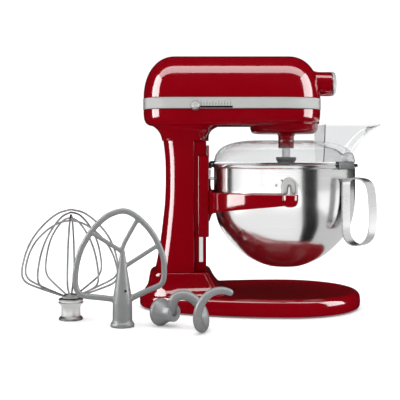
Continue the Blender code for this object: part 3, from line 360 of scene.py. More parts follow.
def swept(bm, path, radii, sides=16, matrix=None):
    """Add a round bar that follows a path."""
    points = [Vector(point) for point in path]
    radii = radii if isinstance(radii, list) else [radii] * len(points)
    normal = (points[1] - points[0]).orthogonal().normalized()
    rings = []
    for i, (point, radius) in enumerate(zip(points, radii)):
        tangent = (points[min(i + 1, len(points) - 1)] - points[max(i - 1, 0)]).normalized()
        normal = (normal - tangent * normal.dot(tangent)).normalized()
        binormal = tangent.cross(normal)
        ring = [point + radius * (math.cos(a) * normal + math.sin(a) * binormal)
                for a in (2 * math.pi * k / sides for k in range(sides))]
        rings.append([matrix @ p for p in ring] if matrix else ring)
    return skin(bm, rings)


def boxed(bm, low_corner, high_corner, matrix=None):
    """Add a plain box between two corners."""
    low_corner, high_corner = Vector(low_corner), Vector(high_corner)
    stretch = Matrix.Diagonal((*(high_corner - low_corner), 1))
    move = Matrix.Translation((low_corner + high_corner) / 2) @ stretch
    bmesh.ops.create_cube(bm, size=1.0, matrix=(matrix @ move) if matrix else move)
    return bm


def power(value, exponent):
    return math.copysign(abs(value) ** exponent, value)


def long_outline(rear, front, half_width, rear_length, front_length, z, exponent=2.3, steps=26):
    """A plan outline with straight sides and superelliptic ends."""
    ring = []
    for side, end, length in ((1, front, front_length), (-1, rear, rear_length)):
        for k in range(steps + 1):
            angle = -math.pi / 2 + math.pi * k / steps
            along = power(math.cos(angle), 2 / exponent)
            across = power(math.sin(angle), 2 / exponent)
            ring.append(Vector((end + side * length * (along - 1), side * half_width * across, z)))
    return ring


def carved(obj, cutters, operation="DIFFERENCE"):
    """Apply Boolean cuts to a piece, remove the cutters, and shade the result again."""
    for cutter in cutters:
        modifier = obj.modifiers.new(cutter.name, "BOOLEAN")
        modifier.operation = operation
        modifier.solver = "EXACT"
        modifier.object = cutter
    bpy.context.view_layer.update()
    depsgraph = bpy.context.evaluated_depsgraph_get()
    mesh = bpy.data.meshes.new_from_object(obj.evaluated_get(depsgraph))
    obj.modifiers.clear()
    obj.data = mesh
    mesh.shade_smooth()
    mesh.set_sharp_from_angle(angle=SHARP)
    for cutter in cutters:
        bpy.data.objects.remove(cutter, do_unlink=True)
    return obj


def fused(obj, voxel, smoothing):
    """Melt the overlapping solids of one piece into one cast skin."""
    remesh = obj.modifiers.new("cast", "REMESH")
    remesh.mode = "VOXEL"
    remesh.voxel_size = voxel * MM
    remesh.use_smooth_shade = True
    soften = obj.modifiers.new("soften", "SMOOTH")
    soften.factor = 0.5
    soften.iterations = smoothing
    return obj


# ---------------------------------------------------------------- head

def head_ring(z, inset, shrink=1.0):
    reach = 53 * (1 - shrink)
    return long_outline(HEAD_REAR + reach + inset, HEAD_FRONT - reach - inset,
                        max(HEAD_HALF_WIDTH * shrink - inset, 3), max(58 * shrink - inset, 3),
                        max(78 * shrink - inset, 3), z)


def make_upper_housing():
    """The glossy dome with the barrel of the attachment hub."""
    seam = BAND_TOP + 0.3
    rings = [head_ring(seam, 2.5), head_ring(seam, 0.5), head_ring(seam + 0.5, 0.0)]
    steps = 30
    for k in range(1, steps + 1):
        angle = math.radians(89.2 * k / steps)
        shrink = math.cos(angle) ** (2 / 2.15)
        rise = math.sin(angle) ** (2 / 2.15)
        rings.append(head_ring(seam + (HEAD_TOP - seam) * rise, 0.0, shrink))
    bm = skin(bmesh.new(), rings, caps=(False, True))
    root = flow([(HUB_RADIUS + 9, 196), (HUB_RADIUS + 4.5, 208), (HUB_RADIUS + 1.4, 216),
                 (HUB_RADIUS, 223)], 6)
    profile = root + [(HUB_RADIUS, 242.6), (HUB_RADIUS - 0.5, 243.6), (HUB_RADIUS - 1.4, 244),
                      (14.6, 244), (14, 243.4), (14, 208)]
    turned(bm, profile, (0, 0, HUB_Z), "X", FINE, closed=False)
    piece("head_dome", bm, "red_paint", "mixer", ["upper_housing"])


def make_trim_band():
    """The satin band with its rolled edges, the speed slot and the printed speed scale."""
    section = [(0.0, 0.2), (0.3, -0.7), (0.9, -1.1), (1.6, -1.0), (2.1, -0.6), (16.4, -0.6), (16.9, -1.0),
               (17.6, -1.1), (18.2, -0.7), (18.5, 0.2), (18.5, 3.9), (0.0, 3.9)]
    rings = [head_ring(BAND_BOTTOM + rise, inset) for rise, inset in section]
    band = piece("satin_band", skin(bmesh.new(), rings, closed=True), "satin_metal", "mixer", ["trim_band"])
    knob_x = middle("speed_knob", "X")
    cutter = piece("slot_cutter", boxed(bmesh.new(), (knob_x - 4, -80, BAND_BOTTOM + 1.0),
                                        (knob_x + 60, -50, BAND_BOTTOM + 4.4)), "black_plastic", None)
    carved(band, [cutter])
    inner = -HEAD_HALF_WIDTH + 4.0
    piece("slot_liner", boxed(bmesh.new(), (knob_x - 7, inner, BAND_BOTTOM + 0.5),
                              (knob_x + 63, inner + 1.0, BAND_BOTTOM + 6.0)), "black_plastic", "mixer")
    bm = bmesh.new()
    face = -HEAD_HALF_WIDTH - 0.6
    for k in range(11):
        x = knob_x + 9 + 4.75 * k
        boxed(bm, (x - 0.4, face - 0.05, BAND_BOTTOM + 5.6), (x + 0.4, face + 0.2, BAND_BOTTOM + 9.6))
        if k % 2 == 0:
            boxed(bm, (x - 0.55, face - 0.05, BAND_BOTTOM + 11.2), (x + 0.55, face + 0.2, BAND_BOTTOM + 12.4))
    piece("speed_scale", bm, "print_ink", "mixer")


def make_lower_housing():
    """The lower head with the coved neck and the round gear-case boss."""
    edge = flow([(302, 17), (302.6, 11.5), (304.6, 6.6), (308, 3.2), (312.5, 1.3), (318, 0.4), (324, 0.0),
                 (BAND_BOTTOM - 0.7, 0.0)], 4)
    rings = [head_ring(z, inset) for z, inset in edge] + [head_ring(BAND_BOTTOM - 0.3, 0.5),
                                                          head_ring(BAND_BOTTOM - 0.3, 3.0)]
    bm = skin(bmesh.new(), rings, caps=(True, False))
    stations = [(277.3, -40, 38, 37.3, 30), (284, -41.5, 38.2, 38, 31), (290, -44, 39.8, 40, 32),
                (295, -47.5, 43.5, 43, 34), (299, -51.8, 49.5, 47.5, 36), (303, -57.5, 59, 52.5, 38),
                (306.5, -64, 72, 58, 40)]
    neck = [long_outline(rear, front, half, end, 24, z) for z, rear, front, half, end in flow(stations, 6)]
    skin(bm, neck)
    boss = [(0, 295.6), (55.6, 295.6), (56.5, 296), (56.8, 296.8), (56.8, 303.5), (57.4, 304.8),
            (58.6, 305.6), (58.6, 310), (0, 310)]
    turned(bm, boss, (BOWL_AXIS, 0, 0), segments=FINE)
    piece("head_lower", bm, "red_paint", "mixer", ["lower_housing"])


def make_speed_knob():
    """The ball knob."""
    x, z = middle("speed_knob", "X"), middle("speed_knob", "Z")
    y = middle("speed_knob", "Y")
    ball = [(7.9 * math.cos(math.radians(a)), 8 * math.sin(math.radians(a))) for a in range(-90, 91, 6)]
    bm = turned(bmesh.new(), [(0, -8), *ball[1:-1], (0, 8)], (x, y, z), "Y", 48)
    piece("speed_ball", bm, "satin_metal", "speed_lever", ["speed_knob"])


def make_hub():
    """The domed cap on its hinge, and the clamp knob with its grooved rim."""
    dome = flow([(19.4, 247.6), (18.4, 249.2), (16, 250.4), (12, 251.2), (6, 251.7)], 4)
    profile = [(0, 244.5), (19.4, 244.5), (20.0, 245), (20.2, 246), (20.0, 247), *dome, (0, 251.8)]
    bm = turned(bmesh.new(), profile, (0, 0, HUB_Z), "X", FINE)
    swept(bm, [(246.2, -4.4, HUB_Z + 19.2), (246.2, 4.4, HUB_Z + 19.2)], 1.3, 20)
    piece("hub_cap_dome", bm, "satin_metal", "cap", ["hub_cap"])
    bm = turned(bmesh.new(), [(0, 15), (3, 15), (3, 22.5), (7, 22.5), (8.4, 23.4), (9.6, 25.2), (10.2, 27),
                              (10.4, 36), (9.8, 37.4), (8.4, 38), (5.8, 37.6), (0, 37.2)],
                (230, 0, HUB_Z), "Y", ROUND)
    for k in range(18):
        angle = 2 * math.pi * k / 18
        spoke = (230 + 10.4 * math.cos(angle), HUB_Z + 10.4 * math.sin(angle))
        swept(bm, [(spoke[0], 26.6, spoke[1]), (spoke[0], 36.4, spoke[1])], 0.8, 8)
    piece("clamp_knob_grip", bm, "black_plastic", "clamp_knob", ["hub_knob"])


def make_planetary():
    """The painted carrier with its tower, and the bright tool shaft."""
    profile = [(0, 289), (46, 289),
               *flow([(46, 289), (50.6, 289.6), (53.6, 291), (55.2, 293), (55.8, 295.3)], 5),
               (52, 295.3), (52, 296.4), (0, 296.4)]
    bm = turned(bmesh.new(), profile, (BOWL_AXIS, 0, 0), segments=FINE)
    tower = [(7, 266.6), (12, 266.6), (12.8, 267), (13, 267.8), *flow([(13, 283), (13.8, 286), (16, 288.4),
                                                                     (19.5, 290)], 4), (7, 290)]
    turned(bm, tower, (BOWL_AXIS, -ORBIT, 0), segments=ROUND)
    piece("planet_cover", bm, "red_paint", "planetary", ["planet_carrier"])
    shaft = [(0, 238), (6.2, 238), (6.6, 238.5), (6.6, 305.6), (0, 305.6)]
    bm = turned(bmesh.new(), shaft, (BOWL_AXIS, -ORBIT, 0), segments=ROUND)
    swept(bm, [(BOWL_AXIS - 9.5, -ORBIT, 246), (BOWL_AXIS + 9.5, -ORBIT, 246)], 2.0, 20)
    piece("tool_shaft_bar", bm, "brushed_steel", "tool_spindle", ["tool_shaft"])


# ---------------------------------------------------------------- column and base

def make_column():
    """The tapered column with the straight block in front."""
    stations = [(62.3, -52, 51), (77, -48.7, 48.5), (94, -45.8, 45.5), (111, -42.8, 43), (144, -38.6, 39.8),
                (178, -35.2, 37.5), (212, -34.2, 36.5), (245, -34.7, 36.5), (262, -36.1, 36.8),
                (277.2, -38.0, 37.3)]
    rings = [long_outline(rear, 17, depth, 34, 5, z) for z, rear, depth in flow(stations, 5)]
    bm = skin(bmesh.new(), rings)
    piece("column_shell", bm, "red_paint", "mixer", ["column"])
    front = piece("column_front", boxed(bmesh.new(), (0, -33.5, 62.3), (COLUMN_FRONT, 33.5, 277.2)),
                  "red_paint", "mixer", bevel=2.2)
    fork_z = 189.0
    slot = piece("slot_cutter", boxed(bmesh.new(), (16, -10, fork_z - 49), (40, 5, fork_z + 11)),
                 "red_paint", None)
    carved(front, [slot])
    for side, node in ((-1, "slide_rail_left"), (1, "slide_rail_right")):
        faces = sorted((side * 33.8, side * 35.2))
        piece(node + "_strip", boxed(bmesh.new(), (22, faces[0], 78), (28.7, faces[1], 251)), "satin_metal",
              "mixer", [node], bevel=0.4)


def base_ring(z, inset, count=96):
    """Egg-shaped plan: a round front about the bowl axis and a longer, narrower rear."""
    ring = []
    for k in range(count):
        angle = -math.pi / 2 + 2 * math.pi * k / count
        length = (126 if math.cos(angle) > 0 else BOWL_AXIS + 77.5) - inset
        ring.append(Vector((BOWL_AXIS + length * math.cos(angle), (126 - inset) * math.sin(angle), z)))
    return ring


def make_base():
    """The foot casting: a rounded egg-shaped slab with a dish, and the flared collar round the column."""
    edge = flow([(2.5, 3.0), (3.4, 1.6), (6, 0.5), (12, 0.0), (17, 0.15), (20.5, 0.7), (23.5, 2.0), (26, 4.2),
                 (27.7, 7.2), (28.4, 10.5), (28.5, 13)], 4)
    rings = [base_ring(z, inset) for z, inset in edge]
    dish = flow([(106, 28.45), (103, 28.1), (99, 27.2), (95, 26.4), (91, 26.1)], 3)
    for radius, z in dish:
        rings.append([Vector((BOWL_AXIS + radius * math.cos(a), radius * math.sin(a), z))
                      for a in (-math.pi / 2 + 2 * math.pi * k / 96 for k in range(96))])
    bm = skin(bmesh.new(), rings)
    stations = [(22, -71.5, 88, 79.5, 82, 2.0), (24, -71.8, 82, 79, 80, 2.0), (30, -69, 70, 73, 68, 2.1),
                (36, -65, 60, 66, 56, 2.25), (42, -63, 53, 61.5, 46, 2.4), (50, -61.5, 47, 59, 37, 2.5),
                (58, -60, 42.5, 57.7, 32, 2.6), (61.4, -58.6, 40.5, 56.6, 30.5, 2.6),
                (COLLAR_TOP, -57.4, 39.4, 55.4, 29.5, 2.6)]
    skin(bm, [long_outline(rear, front, half, end, 16, z, exponent)
              for z, rear, front, half, end, exponent in flow(stations, 5)])
    piece("base_casting", bm, "red_paint", "mixer", ["base"])


# ---------------------------------------------------------------- carriage

def arc_point(radius, degrees, z):
    angle = math.radians(degrees)
    return Vector((BOWL_AXIS + radius * math.cos(angle), radius * math.sin(angle), z))


def make_carriage():
    """The sliding plate with its flanks, two deep curved arms, cups and locating pins."""
    bm = boxed(bmesh.new(), (COLUMN_FRONT + 0.4, -38, 119), (38.4, 38, 270))
    for side in (-1, 1):
        faces = sorted((side * 35.6, side * 39.5))
        boxed(bm, (20.4, faces[0], 119), (38.2, faces[1], 253))
    for rise in (4.2, -8.2):
        boxed(bm, (-20, -8, 189 + rise), (36, 2, 193 + rise))
    piece("carriage_plate", bm, "red_paint", "carriage", ["bowl_yoke"], bevel=1.8)
    bm = bmesh.new()
    for side in (-1, 1):
        rings = []
        steps = 36
        for k in range(steps + 1):
            t = k / steps
            degrees = 180 - side * (6 + 82 * t)
            bottom = 152.5 + 23.5 * t ** 0.8 - 9 * max(0, 0.12 - t) / 0.12
            top = 193.3 + 20 * (max(0, 0.15 - t) / 0.15) ** 2.2
            inner, outer = 124.6 + 0.6 * t, 131.5 + 6 * t
            section = []
            for m in range(28):
                a = 2 * math.pi * m / 28
                across = power(math.cos(a), 2 / 5.5)
                up = power(math.sin(a), 2 / 9)
                section.append(arc_point((inner + outer) / 2 + (outer - inner) / 2 * across, degrees,
                                         (top + bottom) / 2 + (top - bottom) / 2 * up))
            rings.append(section)
        skin(bm, rings)
        cup = [(0, 173.5), *flow([(4, 173.6), (8.4, 175.2), (11.4, 178.6), (12.8, 183), (13, 187)], 4),
               (13, 192.4), (12.2, 193.4), (0, 193.5)]
        turned(bm, cup, (162, side * 133.2, 0), segments=48)
    piece("carriage_arms", bm, "red_paint", "carriage")
    bm = bmesh.new()
    for side in (-1, 1):
        pin = [(0, 190), (4.5, 190), (4.5, 197), (3.2, 204), (2.2, 207.4), (1, 208.5), (0, 208.6)]
        turned(bm, pin, (162, side * 127.3, 0), segments=32)
    piece("locating_pins", bm, "polished_steel", "carriage")
    loop = [(-9, 229), (-7, 221), (-6.5, 212), (-4, 205.5), (0, 203), (4, 205.5), (6.5, 212), (7, 221),
            (9, 229)]
    bm = swept(bmesh.new(), [(40.4, y, z) for y, z in flow(loop, 6)], 1.15, 14)
    piece("latch_wire", bm, "polished_steel", "carriage", ["latch_spring"])


def make_lift_lever():
    """The hand lever on the far side, with its rounded grip."""
    x, z = 14.0, 170.0
    bm = bmesh.new()
    path = flow([(x, 53.5, z - 10), (x, 53.5, z + 10), (x, 53.5, z + 30),
                 (x - 2, 56, z + 55), (x - 6, 60, z + 74)], 6)
    rings = []
    for k, point in enumerate(path):
        t = k / (len(path) - 1)
        wide, thick = 7.4 - 3 * t, 3.6 - 1.4 * t
        rings.append([Vector(point) + Vector((wide * math.cos(a), thick * math.sin(a), 0))
                      for a in (2 * math.pi * m / 24 for m in range(24))])
    skin(bm, rings)
    piece("lever_bar", bm, "satin_metal", "lever", ["lift_lever"])
    grip = flow([(2.0, -9.9), (6, -9), (9.4, -5.2), (10.4, 0), (9.4, 5.2), (6, 9), (2.0, 9.9)], 5)
    bm = turned(bmesh.new(), [(0, -10), *grip, (0, 10)], (x - 8, 62, z + 84.6), segments=48)
    piece("lever_knob", bm, "black_plastic", "lever", ["lever_grip"])


# ---------------------------------------------------------------- bowl

def make_bowl():
    """The steel bowl: drawn wall, shallow foot and rolled rim, with ears and rear stud."""
    wall = [(30, 69.6), (44, 74.3), (67, 87.0), (90.6, 108.4), (104.4, 127.5), (112.6, 146), (116.6, 168),
            (118, 192), (118, 214), (118, 232)]
    outer = [(0, 71), (24, 70), (27, 68.7), (30, 69.2)] + flow(wall, 7)[1:]
    rim = [(118.6, 232.6), (121.2, 233.2), (122.3, 234.6), (122.4, 236.4), (121.6, 238.2), (119.8, RIM_TOP),
           (117.6, 238.6), (116.6, 236.8)]
    inner = [(r - 1.4, z + (1.4 if z < 130 else 0.4)) for r, z in reversed(flow(wall, 7))] + [(0, 72.4)]
    bm = turned(bmesh.new(), outer + rim + inner, (BOWL_AXIS, 0, 0), segments=160)
    piece("bowl_shell", bm, "polished_steel", "mixing_bowl", ["bowl"])
    for side, node in ((-1, "bowl_ear_left"), (1, "bowl_ear_right")):
        bm = bmesh.new()
        outline = [(-12.3, 194.3), (12.3, 194.3)]
        outline += [(12.3 * math.cos(a), 206.4 + 12.3 * math.sin(a))
                    for a in (math.pi * k / 24 for k in range(25))]
        skin(bm, [[Vector((162 + x, side * y, z)) for x, z in outline] for y in (118.4, 122.4)])
        strap = [(-12.3, 194.3)] + [(-12.3 * math.cos(a), 206.4 + 12.3 * math.sin(a))
                                    for a in (math.pi * k / 24 for k in range(25))] + [(12.3, 194.3)]
        inside = [(-9.5, 194.3)] + [(-9.5 * math.cos(a), 206.4 + 9.5 * math.sin(a))
                                    for a in (math.pi * k / 24 for k in range(25))] + [(9.5, 194.3)]
        rings = []
        for (xo, zo), (xi, zi) in zip(strap, inside):
            rings.append([Vector((162 + xo, side * 118.4, zo)), Vector((162 + xo, side * 133, zo)),
                          Vector((162 + xi, side * 133, zi)), Vector((162 + xi, side * 118.4, zi))])
        skin(bm, rings)
        piece(node + "_arch", bm, "satin_metal", "mixing_bowl", [node], bevel=0.6)
        bm = bmesh.new()
        for x, z in ((-11.2, 214.8), (-20, 207), (13.6, 207)):
            dome = [(0, 0), (1.9, 0.1), (1.6, 1.1), (0.9, 1.6), (0, 1.8)]
            turned(bm, dome, matrix=Matrix.Translation((162 + x, side * 116.8, z))
                   @ Matrix.Rotation(-side * math.pi / 2, 4, "X"), segments=20)
        piece(node + "_welds", bm, "satin_metal", "mixing_bowl")
    stud = [(0, 39.9), (3.6, 39.9), (4, 40.2), (4, 41.3), (3.6, 41.5), (2, 41.6), (2, 47), (0, 47)]
    piece("latch_stud", turned(bmesh.new(), stud, (0, 0, 214), "X", 32), "polished_steel", "mixing_bowl",
          ["rear_stud"])


def make_handle():
    """The bent strap handle, standing out from the bowl."""
    loop = [(119.9, 150), (119.9, 175), (119.9, 200), (121, 212), (128, 216.5), (140, 217), (153, 215),
            (162, 208), (166, 195), (168, 175), (168.4, 155), (167.5, 138), (163, 124), (154, 115),
            (142, 111.5), (131, 114), (122.5, 123), (119.9, 135)]
    outward = Vector((math.cos(HANDLE_AZIMUTH), math.sin(HANDLE_AZIMUTH), 0))
    across = Vector((-outward.y, outward.x, 0))
    points = [Vector(point) for point in closed_flow(loop, 6)]
    rings = []
    for i, point in enumerate(points):
        tangent = (points[(i + 1) % len(points)] - points[i - 1]).normalized()
        normal = Vector((tangent.y, -tangent.x))
        section = []
        for m in range(20):
            a = 2 * math.pi * m / 20
            wide = 12.5 * power(math.cos(a), 2 / 7)
            thick = 1.25 * power(math.sin(a), 2 / 2.6)
            place = point + normal * thick
            section.append(Vector((BOWL_AXIS, 0, place.y)) + outward * place.x + across * wide)
        rings.append(section)
    bm = skin(bmesh.new(), rings, closed=True)
    piece("handle_strap", bm, "brushed_steel", "mixing_bowl", ["bowl_handle"])


# ---------------------------------------------------------------- shield

def shield_point(forward, across, z):
    c, s = math.cos(SHIELD_TURN), math.sin(SHIELD_TURN)
    return Vector((BOWL_AXIS + c * forward - s * across, s * forward + c * across, z))


def chute(name, inset, extra_low, extra_high):
    """The chute as a solid, used once for its outside and once for its inside."""
    stations = flow([(243, 60, 104, 30), (262, 60, 113, 34), (280, 60, 126, 38), (294, 60, 141, 40),
                     (304, 60, 156, 41)], 5)
    rings = []
    for k, (z, back, front, half) in enumerate(stations):
        height = z - (extra_low if k == 0 else 0) + (extra_high if k == len(stations) - 1 else 0)
        b, f, h = back + inset, front - inset, half - inset
        corner = 9 - inset
        curve = [(f - corner + corner * math.cos(a), h - corner + corner * math.sin(a))
                 for a in (math.pi / 2 * m / 8 for m in range(9))]
        outline = [(b, -h), *[(x, -y) for x, y in reversed(curve)], *curve, (b, h)]
        rings.append([shield_point(x, y, height) for x, y in outline])
    return piece(name, skin(bmesh.new(), rings), "clear_plastic", None)


def make_shield():
    """The clear shield: a ring-shaped dome with a pouring chute, and its rubber clips."""
    outside = flow([(117.8, 241), (117.6, 246), (113.4, 256.5), (103.6, 266.4), (88, 273.0),
                    (72, 276.2), (60, 277.6)], 5)
    inside = flow([(60, 275.8), (72, 274.3), (87.2, 271.2), (102.2, 264.8), (111.6, 255.4), (115.6, 245.6),
                   (115.8, 241)], 5)
    bm = turned(bmesh.new(), outside + inside, (BOWL_AXIS, 0, 0), segments=FINE)
    shield = piece("shield_dome", bm, "clear_plastic", "shield", ["pouring_shield"])
    carved(shield, [chute("chute_outside", 0.0, 0.0, 0.0)], "UNION")
    carved(shield, [chute("chute_inside", 1.8, 6.0, 3.0)])
    for node, degrees, half_turn in (("shield_clip_rear", 183, 5), ("shield_clip_front", -42, 10)):
        outline = [(118.3, 239.4), (122.9, 239.4), (122.9, 231), (126, 231), (126.3, 232), (126.3, 240.5),
                   (125.4, 242.6), (123.4, 243.6), (118.3, 243.6)]
        rings = [[arc_point(r, degrees + half_turn * (k / 12 - 1), z) for r, z in outline] for k in range(25)]
        piece(node + "_pad", skin(bmesh.new(), rings), "dark_rubber", "shield", [node], bevel=0.5)


# ---------------------------------------------------------------- mixing tools

BEATER_FRAME = [(-8, 40), (-30, 43.5), (-50, 46), (-61, 49), (-67, 56), (-69.6, 69), (-67.8, 91),
                (-61.9, 113.3), (-54.4, 128.2), (-44, 144.5), (-29.1, 159.4), (-15.8, 167.6), (0, 171.5),
                (12.5, 168.3), (25.9, 158.7), (40.7, 143), (52.6, 123.7), (60.8, 101.4), (62.3, 83.6),
                (61.6, 68.7), (55.6, 59.8), (33.3, 50.8), (8, 39)]
BEATER_SPOKES = [[(-2, 112), (-44, 139)], [(-1, 112), (4, 126), (21, 156)], [(2, 88), (52, 119)]]


def make_beater(name, node, slot, body, place, scale):
    """A flat beater cast in one piece: a tapered stem and hub, a bar frame and three spokes."""
    matrix = place @ Matrix.Diagonal((scale, scale, scale, 1))
    bm = bmesh.new()
    swept(bm, [(x, 0, z) for x, z in flow(BEATER_FRAME, 5)], 4.4, 20, matrix)
    for spoke in BEATER_SPOKES:
        swept(bm, [(x, 0, z) for x, z in flow(spoke, 5)], 3.3, 16, matrix)
    taper = flow([(14.4, 35), (13.9, 41), (13.0, 48), (11.2, 60), (8.7, 76), (5.9, 94), (3.8, 112)], 6)
    hub = [(0, 0), (17.3, 0), (17.8, 0.6), (17.8, 4.6), (17.2, 5.6), (15.4, 7.4), (14.6, 9.5),
           *taper, (0, 114)]
    turned(bm, hub, matrix=matrix, segments=ROUND)
    cast = fused(piece(name, bm, slot, body, [node]), 1.1, 5)
    hole = swept(bmesh.new(), [(3.5, -16, 54), (3.5, -4, 54)], 1.9, 20, matrix)
    return carved(cast, [piece("pin_hole_cutter", hole, slot, None)])


def make_whisk(x, y):
    """The wire whisk on its turned hub."""
    bm = bmesh.new()
    turn_angle = math.radians(22)
    half_loop = [(8, 35.4), (26, 42), (44, 49), (62, 56.6), (70.5, 62), (75, 69), (76, 77),
                 (74.6, 88), (69, 108), (59.6, 127), (47, 143), (33, 156), (18, 165.5), (0, 170)]
    for k in range(5):
        angle = math.pi * k / 5 + turn_angle
        path = [(r, z - 4.2 * k * (z / 170) ** 2) for r, z in flow(half_loop, 4)]
        full = path + [(-r, z) for r, z in reversed(path[:-1])]
        swept(bm, [(x + r * math.cos(angle), y + r * math.sin(angle), z) for r, z in full], 1.5, 12)
    turned(bm, [(0, 33.4), (13, 33.4), (13.5, 34), (13.5, 36), (11.5, 38.2), (7, 39.6), (0, 40)], (x, y, 0),
           segments=48)
    # The wires take the darkened steel, whose dark grey is painted shade.
    piece("whisk_cage", bm, "wire_steel", "whisk", ["whisk_wires"])
    hub = [(7.2, 0), (17.8, 0), (18.3, 0.5), (18.3, 3.2), (17.2, 4.4), (15.3, 5.8), (14.8, 8),
           (14.8, 20), (15.3, 22), (17.6, 24), (19.3, 25.6), (19.5, 27), (18.5, 28.2), (18.5, 30),
           (19.2, 31), (18.6, 32.4), (15, 33.1), (7.2, 33.1)]
    piece("whisk_socket_hub", turned(bmesh.new(), hub, (x, y, 0), segments=ROUND), "satin_metal", "whisk",
          ["whisk_hub"])


def make_hook():
    """The spiral dough hook lying on its side, with its stepped hub and open socket."""
    start, end = Vector((-18, -189.5, 22)), Vector((60, -262, 41))
    direction = (end - start).normalized()
    side = Vector((0, 0, 1)).cross(direction).normalized()
    rise = direction.cross(side)
    path, radii = [], []
    steps = 140
    path.append(start - 3 * direction)
    radii.append(7.2)
    for k in range(round(0.12 * steps), steps + 1):
        t = k / steps
        angle = math.radians(-75 + 480 * t)
        radius = 5 + 20 * math.sin(math.pi / 2 * min(1, t / 0.22))
        path.append(start.lerp(end, t) + radius * (math.cos(angle) * rise + math.sin(angle) * side))
        tip = max(0.0, (t - 0.985) / 0.015)
        radii.append((7.2 - 2.6 * t ** 3) * math.sqrt(1 - 0.8 * tip * tip))
    bm = swept(bmesh.new(), path, radii, 28)
    heading = Vector((74, -66, 6)).to_track_quat("Z", "Y").to_matrix().to_4x4()
    hub = [(7.2, -8), (7.2, -23.4), (7.8, -24), (16.4, -24), (17.2, -23.6), (18.6, -22.4), (20.2, -20.6),
           (20.5, -19.6), (20.5, -16), (20, -14.8), (18.4, -12.6), (17.6, -11), (16.2, -7), (14.2, -3), (13.4, 2),
           (13.2, 10), (12.4, 11.2), (6.0, 11.2), (5.4, 10.6), (5.4, 1), (0, 1), (0, -8)]
    turned(bm, hub, matrix=Matrix.Translation((-22, -186, 21.5)) @ heading, segments=ROUND)
    piece("hook_cast", bm, "coated_tool", "hook", ["dough_hook"])


# ---------------------------------------------------------------- finish of the carried-over nodes

def dress_nodes():
    """Give every CAD node the procedural material of its slot."""
    slots = {entry["node"]: entry["material_slot"] for entry in frame["record"]["subparts"]}
    for name, obj in frame["nodes"].items():
        material = MATERIALS[slots[name]]
        if not obj.material_slots:
            obj.data.materials.append(material)
        for slot in obj.material_slots:
            slot.material = material


# ---------------------------------------------------------------- stage

def softbox(name, place, target, size, radiance, group):
    """A glossy-only softbox of a given radiance that shows in the reflections of a group of pieces."""
    light = bpy.data.lights.new(name, "AREA")
    light.shape = "RECTANGLE"
    light.size, light.size_y = size
    light.energy = radiance * math.pi * size[0] * size[1]
    obj = bpy.data.objects.new(name, light)
    obj.location = place
    obj.rotation_euler = (Vector(target) - Vector(place)).to_track_quat("-Z", "Y").to_euler()
    obj.visible_diffuse = obj.visible_camera = False
    obj.light_linking.receiver_collection = group
    bpy.context.scene.collection.objects.link(obj)
    return obj


def receivers(name, slots, pieces=(), without=()):
    """A light-linking collection of the pieces with one of the slots' materials, and some more by name."""
    group = bpy.data.collections.new(name)
    wanted = {MATERIALS[slot] for slot in slots}
    for obj in bpy.context.scene.objects:
        if obj.type == "MESH" and obj.name not in without and (
                obj.name in pieces or any(slot.material in wanted for slot in obj.material_slots)):
            group.objects.link(obj)
    return group


def floor_box(name, azimuth, side, radiance, group):
    """An upward glossy-only light beside a ray from the bowl, turned from -Y toward +X by the azimuth."""
    ray = Vector((math.sin(azimuth), -math.cos(azimuth), 0))
    across = Vector((math.cos(azimuth), math.sin(azimuth), 0))
    place = Vector((BOWL_AXIS * MM, 0, FLOOR_BOX_Z)) + ray * 1.6 + across * side * FLOOR_BOX / 2
    obj = softbox(name, place, place + Vector((0, 0, 1)), (FLOOR_BOX, FLOOR_BOX), radiance, group)
    obj.rotation_euler = Matrix((across, ray, (0, 0, -1))).transposed().to_euler()


def make_floor():
    bm = bmesh.new()
    bmesh.ops.create_circle(bm, cap_ends=True, radius=30.0, segments=96)
    mesh = bpy.data.meshes.new("floor")
    bm.to_mesh(mesh)
    bm.free()
    floor = bpy.data.objects.new("floor", mesh)
    material = Nodes("pale_floor")
    material.set(specular_ior_level=0.05, emission_color=(1.0, 1.0, 1.0), emission_strength=0.14)
    material.color(material.noise(2.0), (0.91, 0.91, 0.91), (0.93, 0.93, 0.93))
    material.roughness(material.noise(3.0), 0.7, 0.8)
    mesh.materials.append(material.material)
    bpy.context.scene.collection.objects.link(floor)
    floor.visible_glossy = False


def make_world():
    """White all round for the background and the soft light, brighter overhead, and dim in reflections."""
    world = bpy.data.worlds.new("studio")
    bpy.context.scene.world = world
    world.use_nodes = True
    tree = world.node_tree
    link = tree.links.new

    def background(strength):
        node = tree.nodes.new("ShaderNodeBackground")
        node.inputs["Color"].default_value = (1, 1, 1, 1)
        node.inputs["Strength"].default_value = strength
        return node.outputs["Background"]

    def mixed(factor, first, second):
        node = tree.nodes.new("ShaderNodeMixShader")
        link(factor, node.inputs["Fac"])
        link(first, node.inputs[1])
        link(second, node.inputs[2])
        return node.outputs["Shader"]

    path = tree.nodes.new("ShaderNodeLightPath")
    split = tree.nodes.new("ShaderNodeSeparateXYZ")
    link(tree.nodes.new("ShaderNodeTexCoord").outputs["Generated"], split.inputs["Vector"])
    sky = mixed(split.outputs["Z"], background(SKY_LOW), background(SKY_HIGH))
    soft = mixed(path.outputs["Is Diffuse Ray"], background(1.05), sky)
    reflected = tree.nodes.new("ShaderNodeMath")
    reflected.operation = "SUBTRACT"
    reflected.use_clamp = True
    link(path.outputs["Is Glossy Ray"], reflected.inputs[0])
    link(path.outputs["Is Transmission Ray"], reflected.inputs[1])
    final = mixed(reflected.outputs["Value"], soft, background(GLOSS_WORLD))
    link(final, tree.nodes["World Output"].inputs["Surface"])


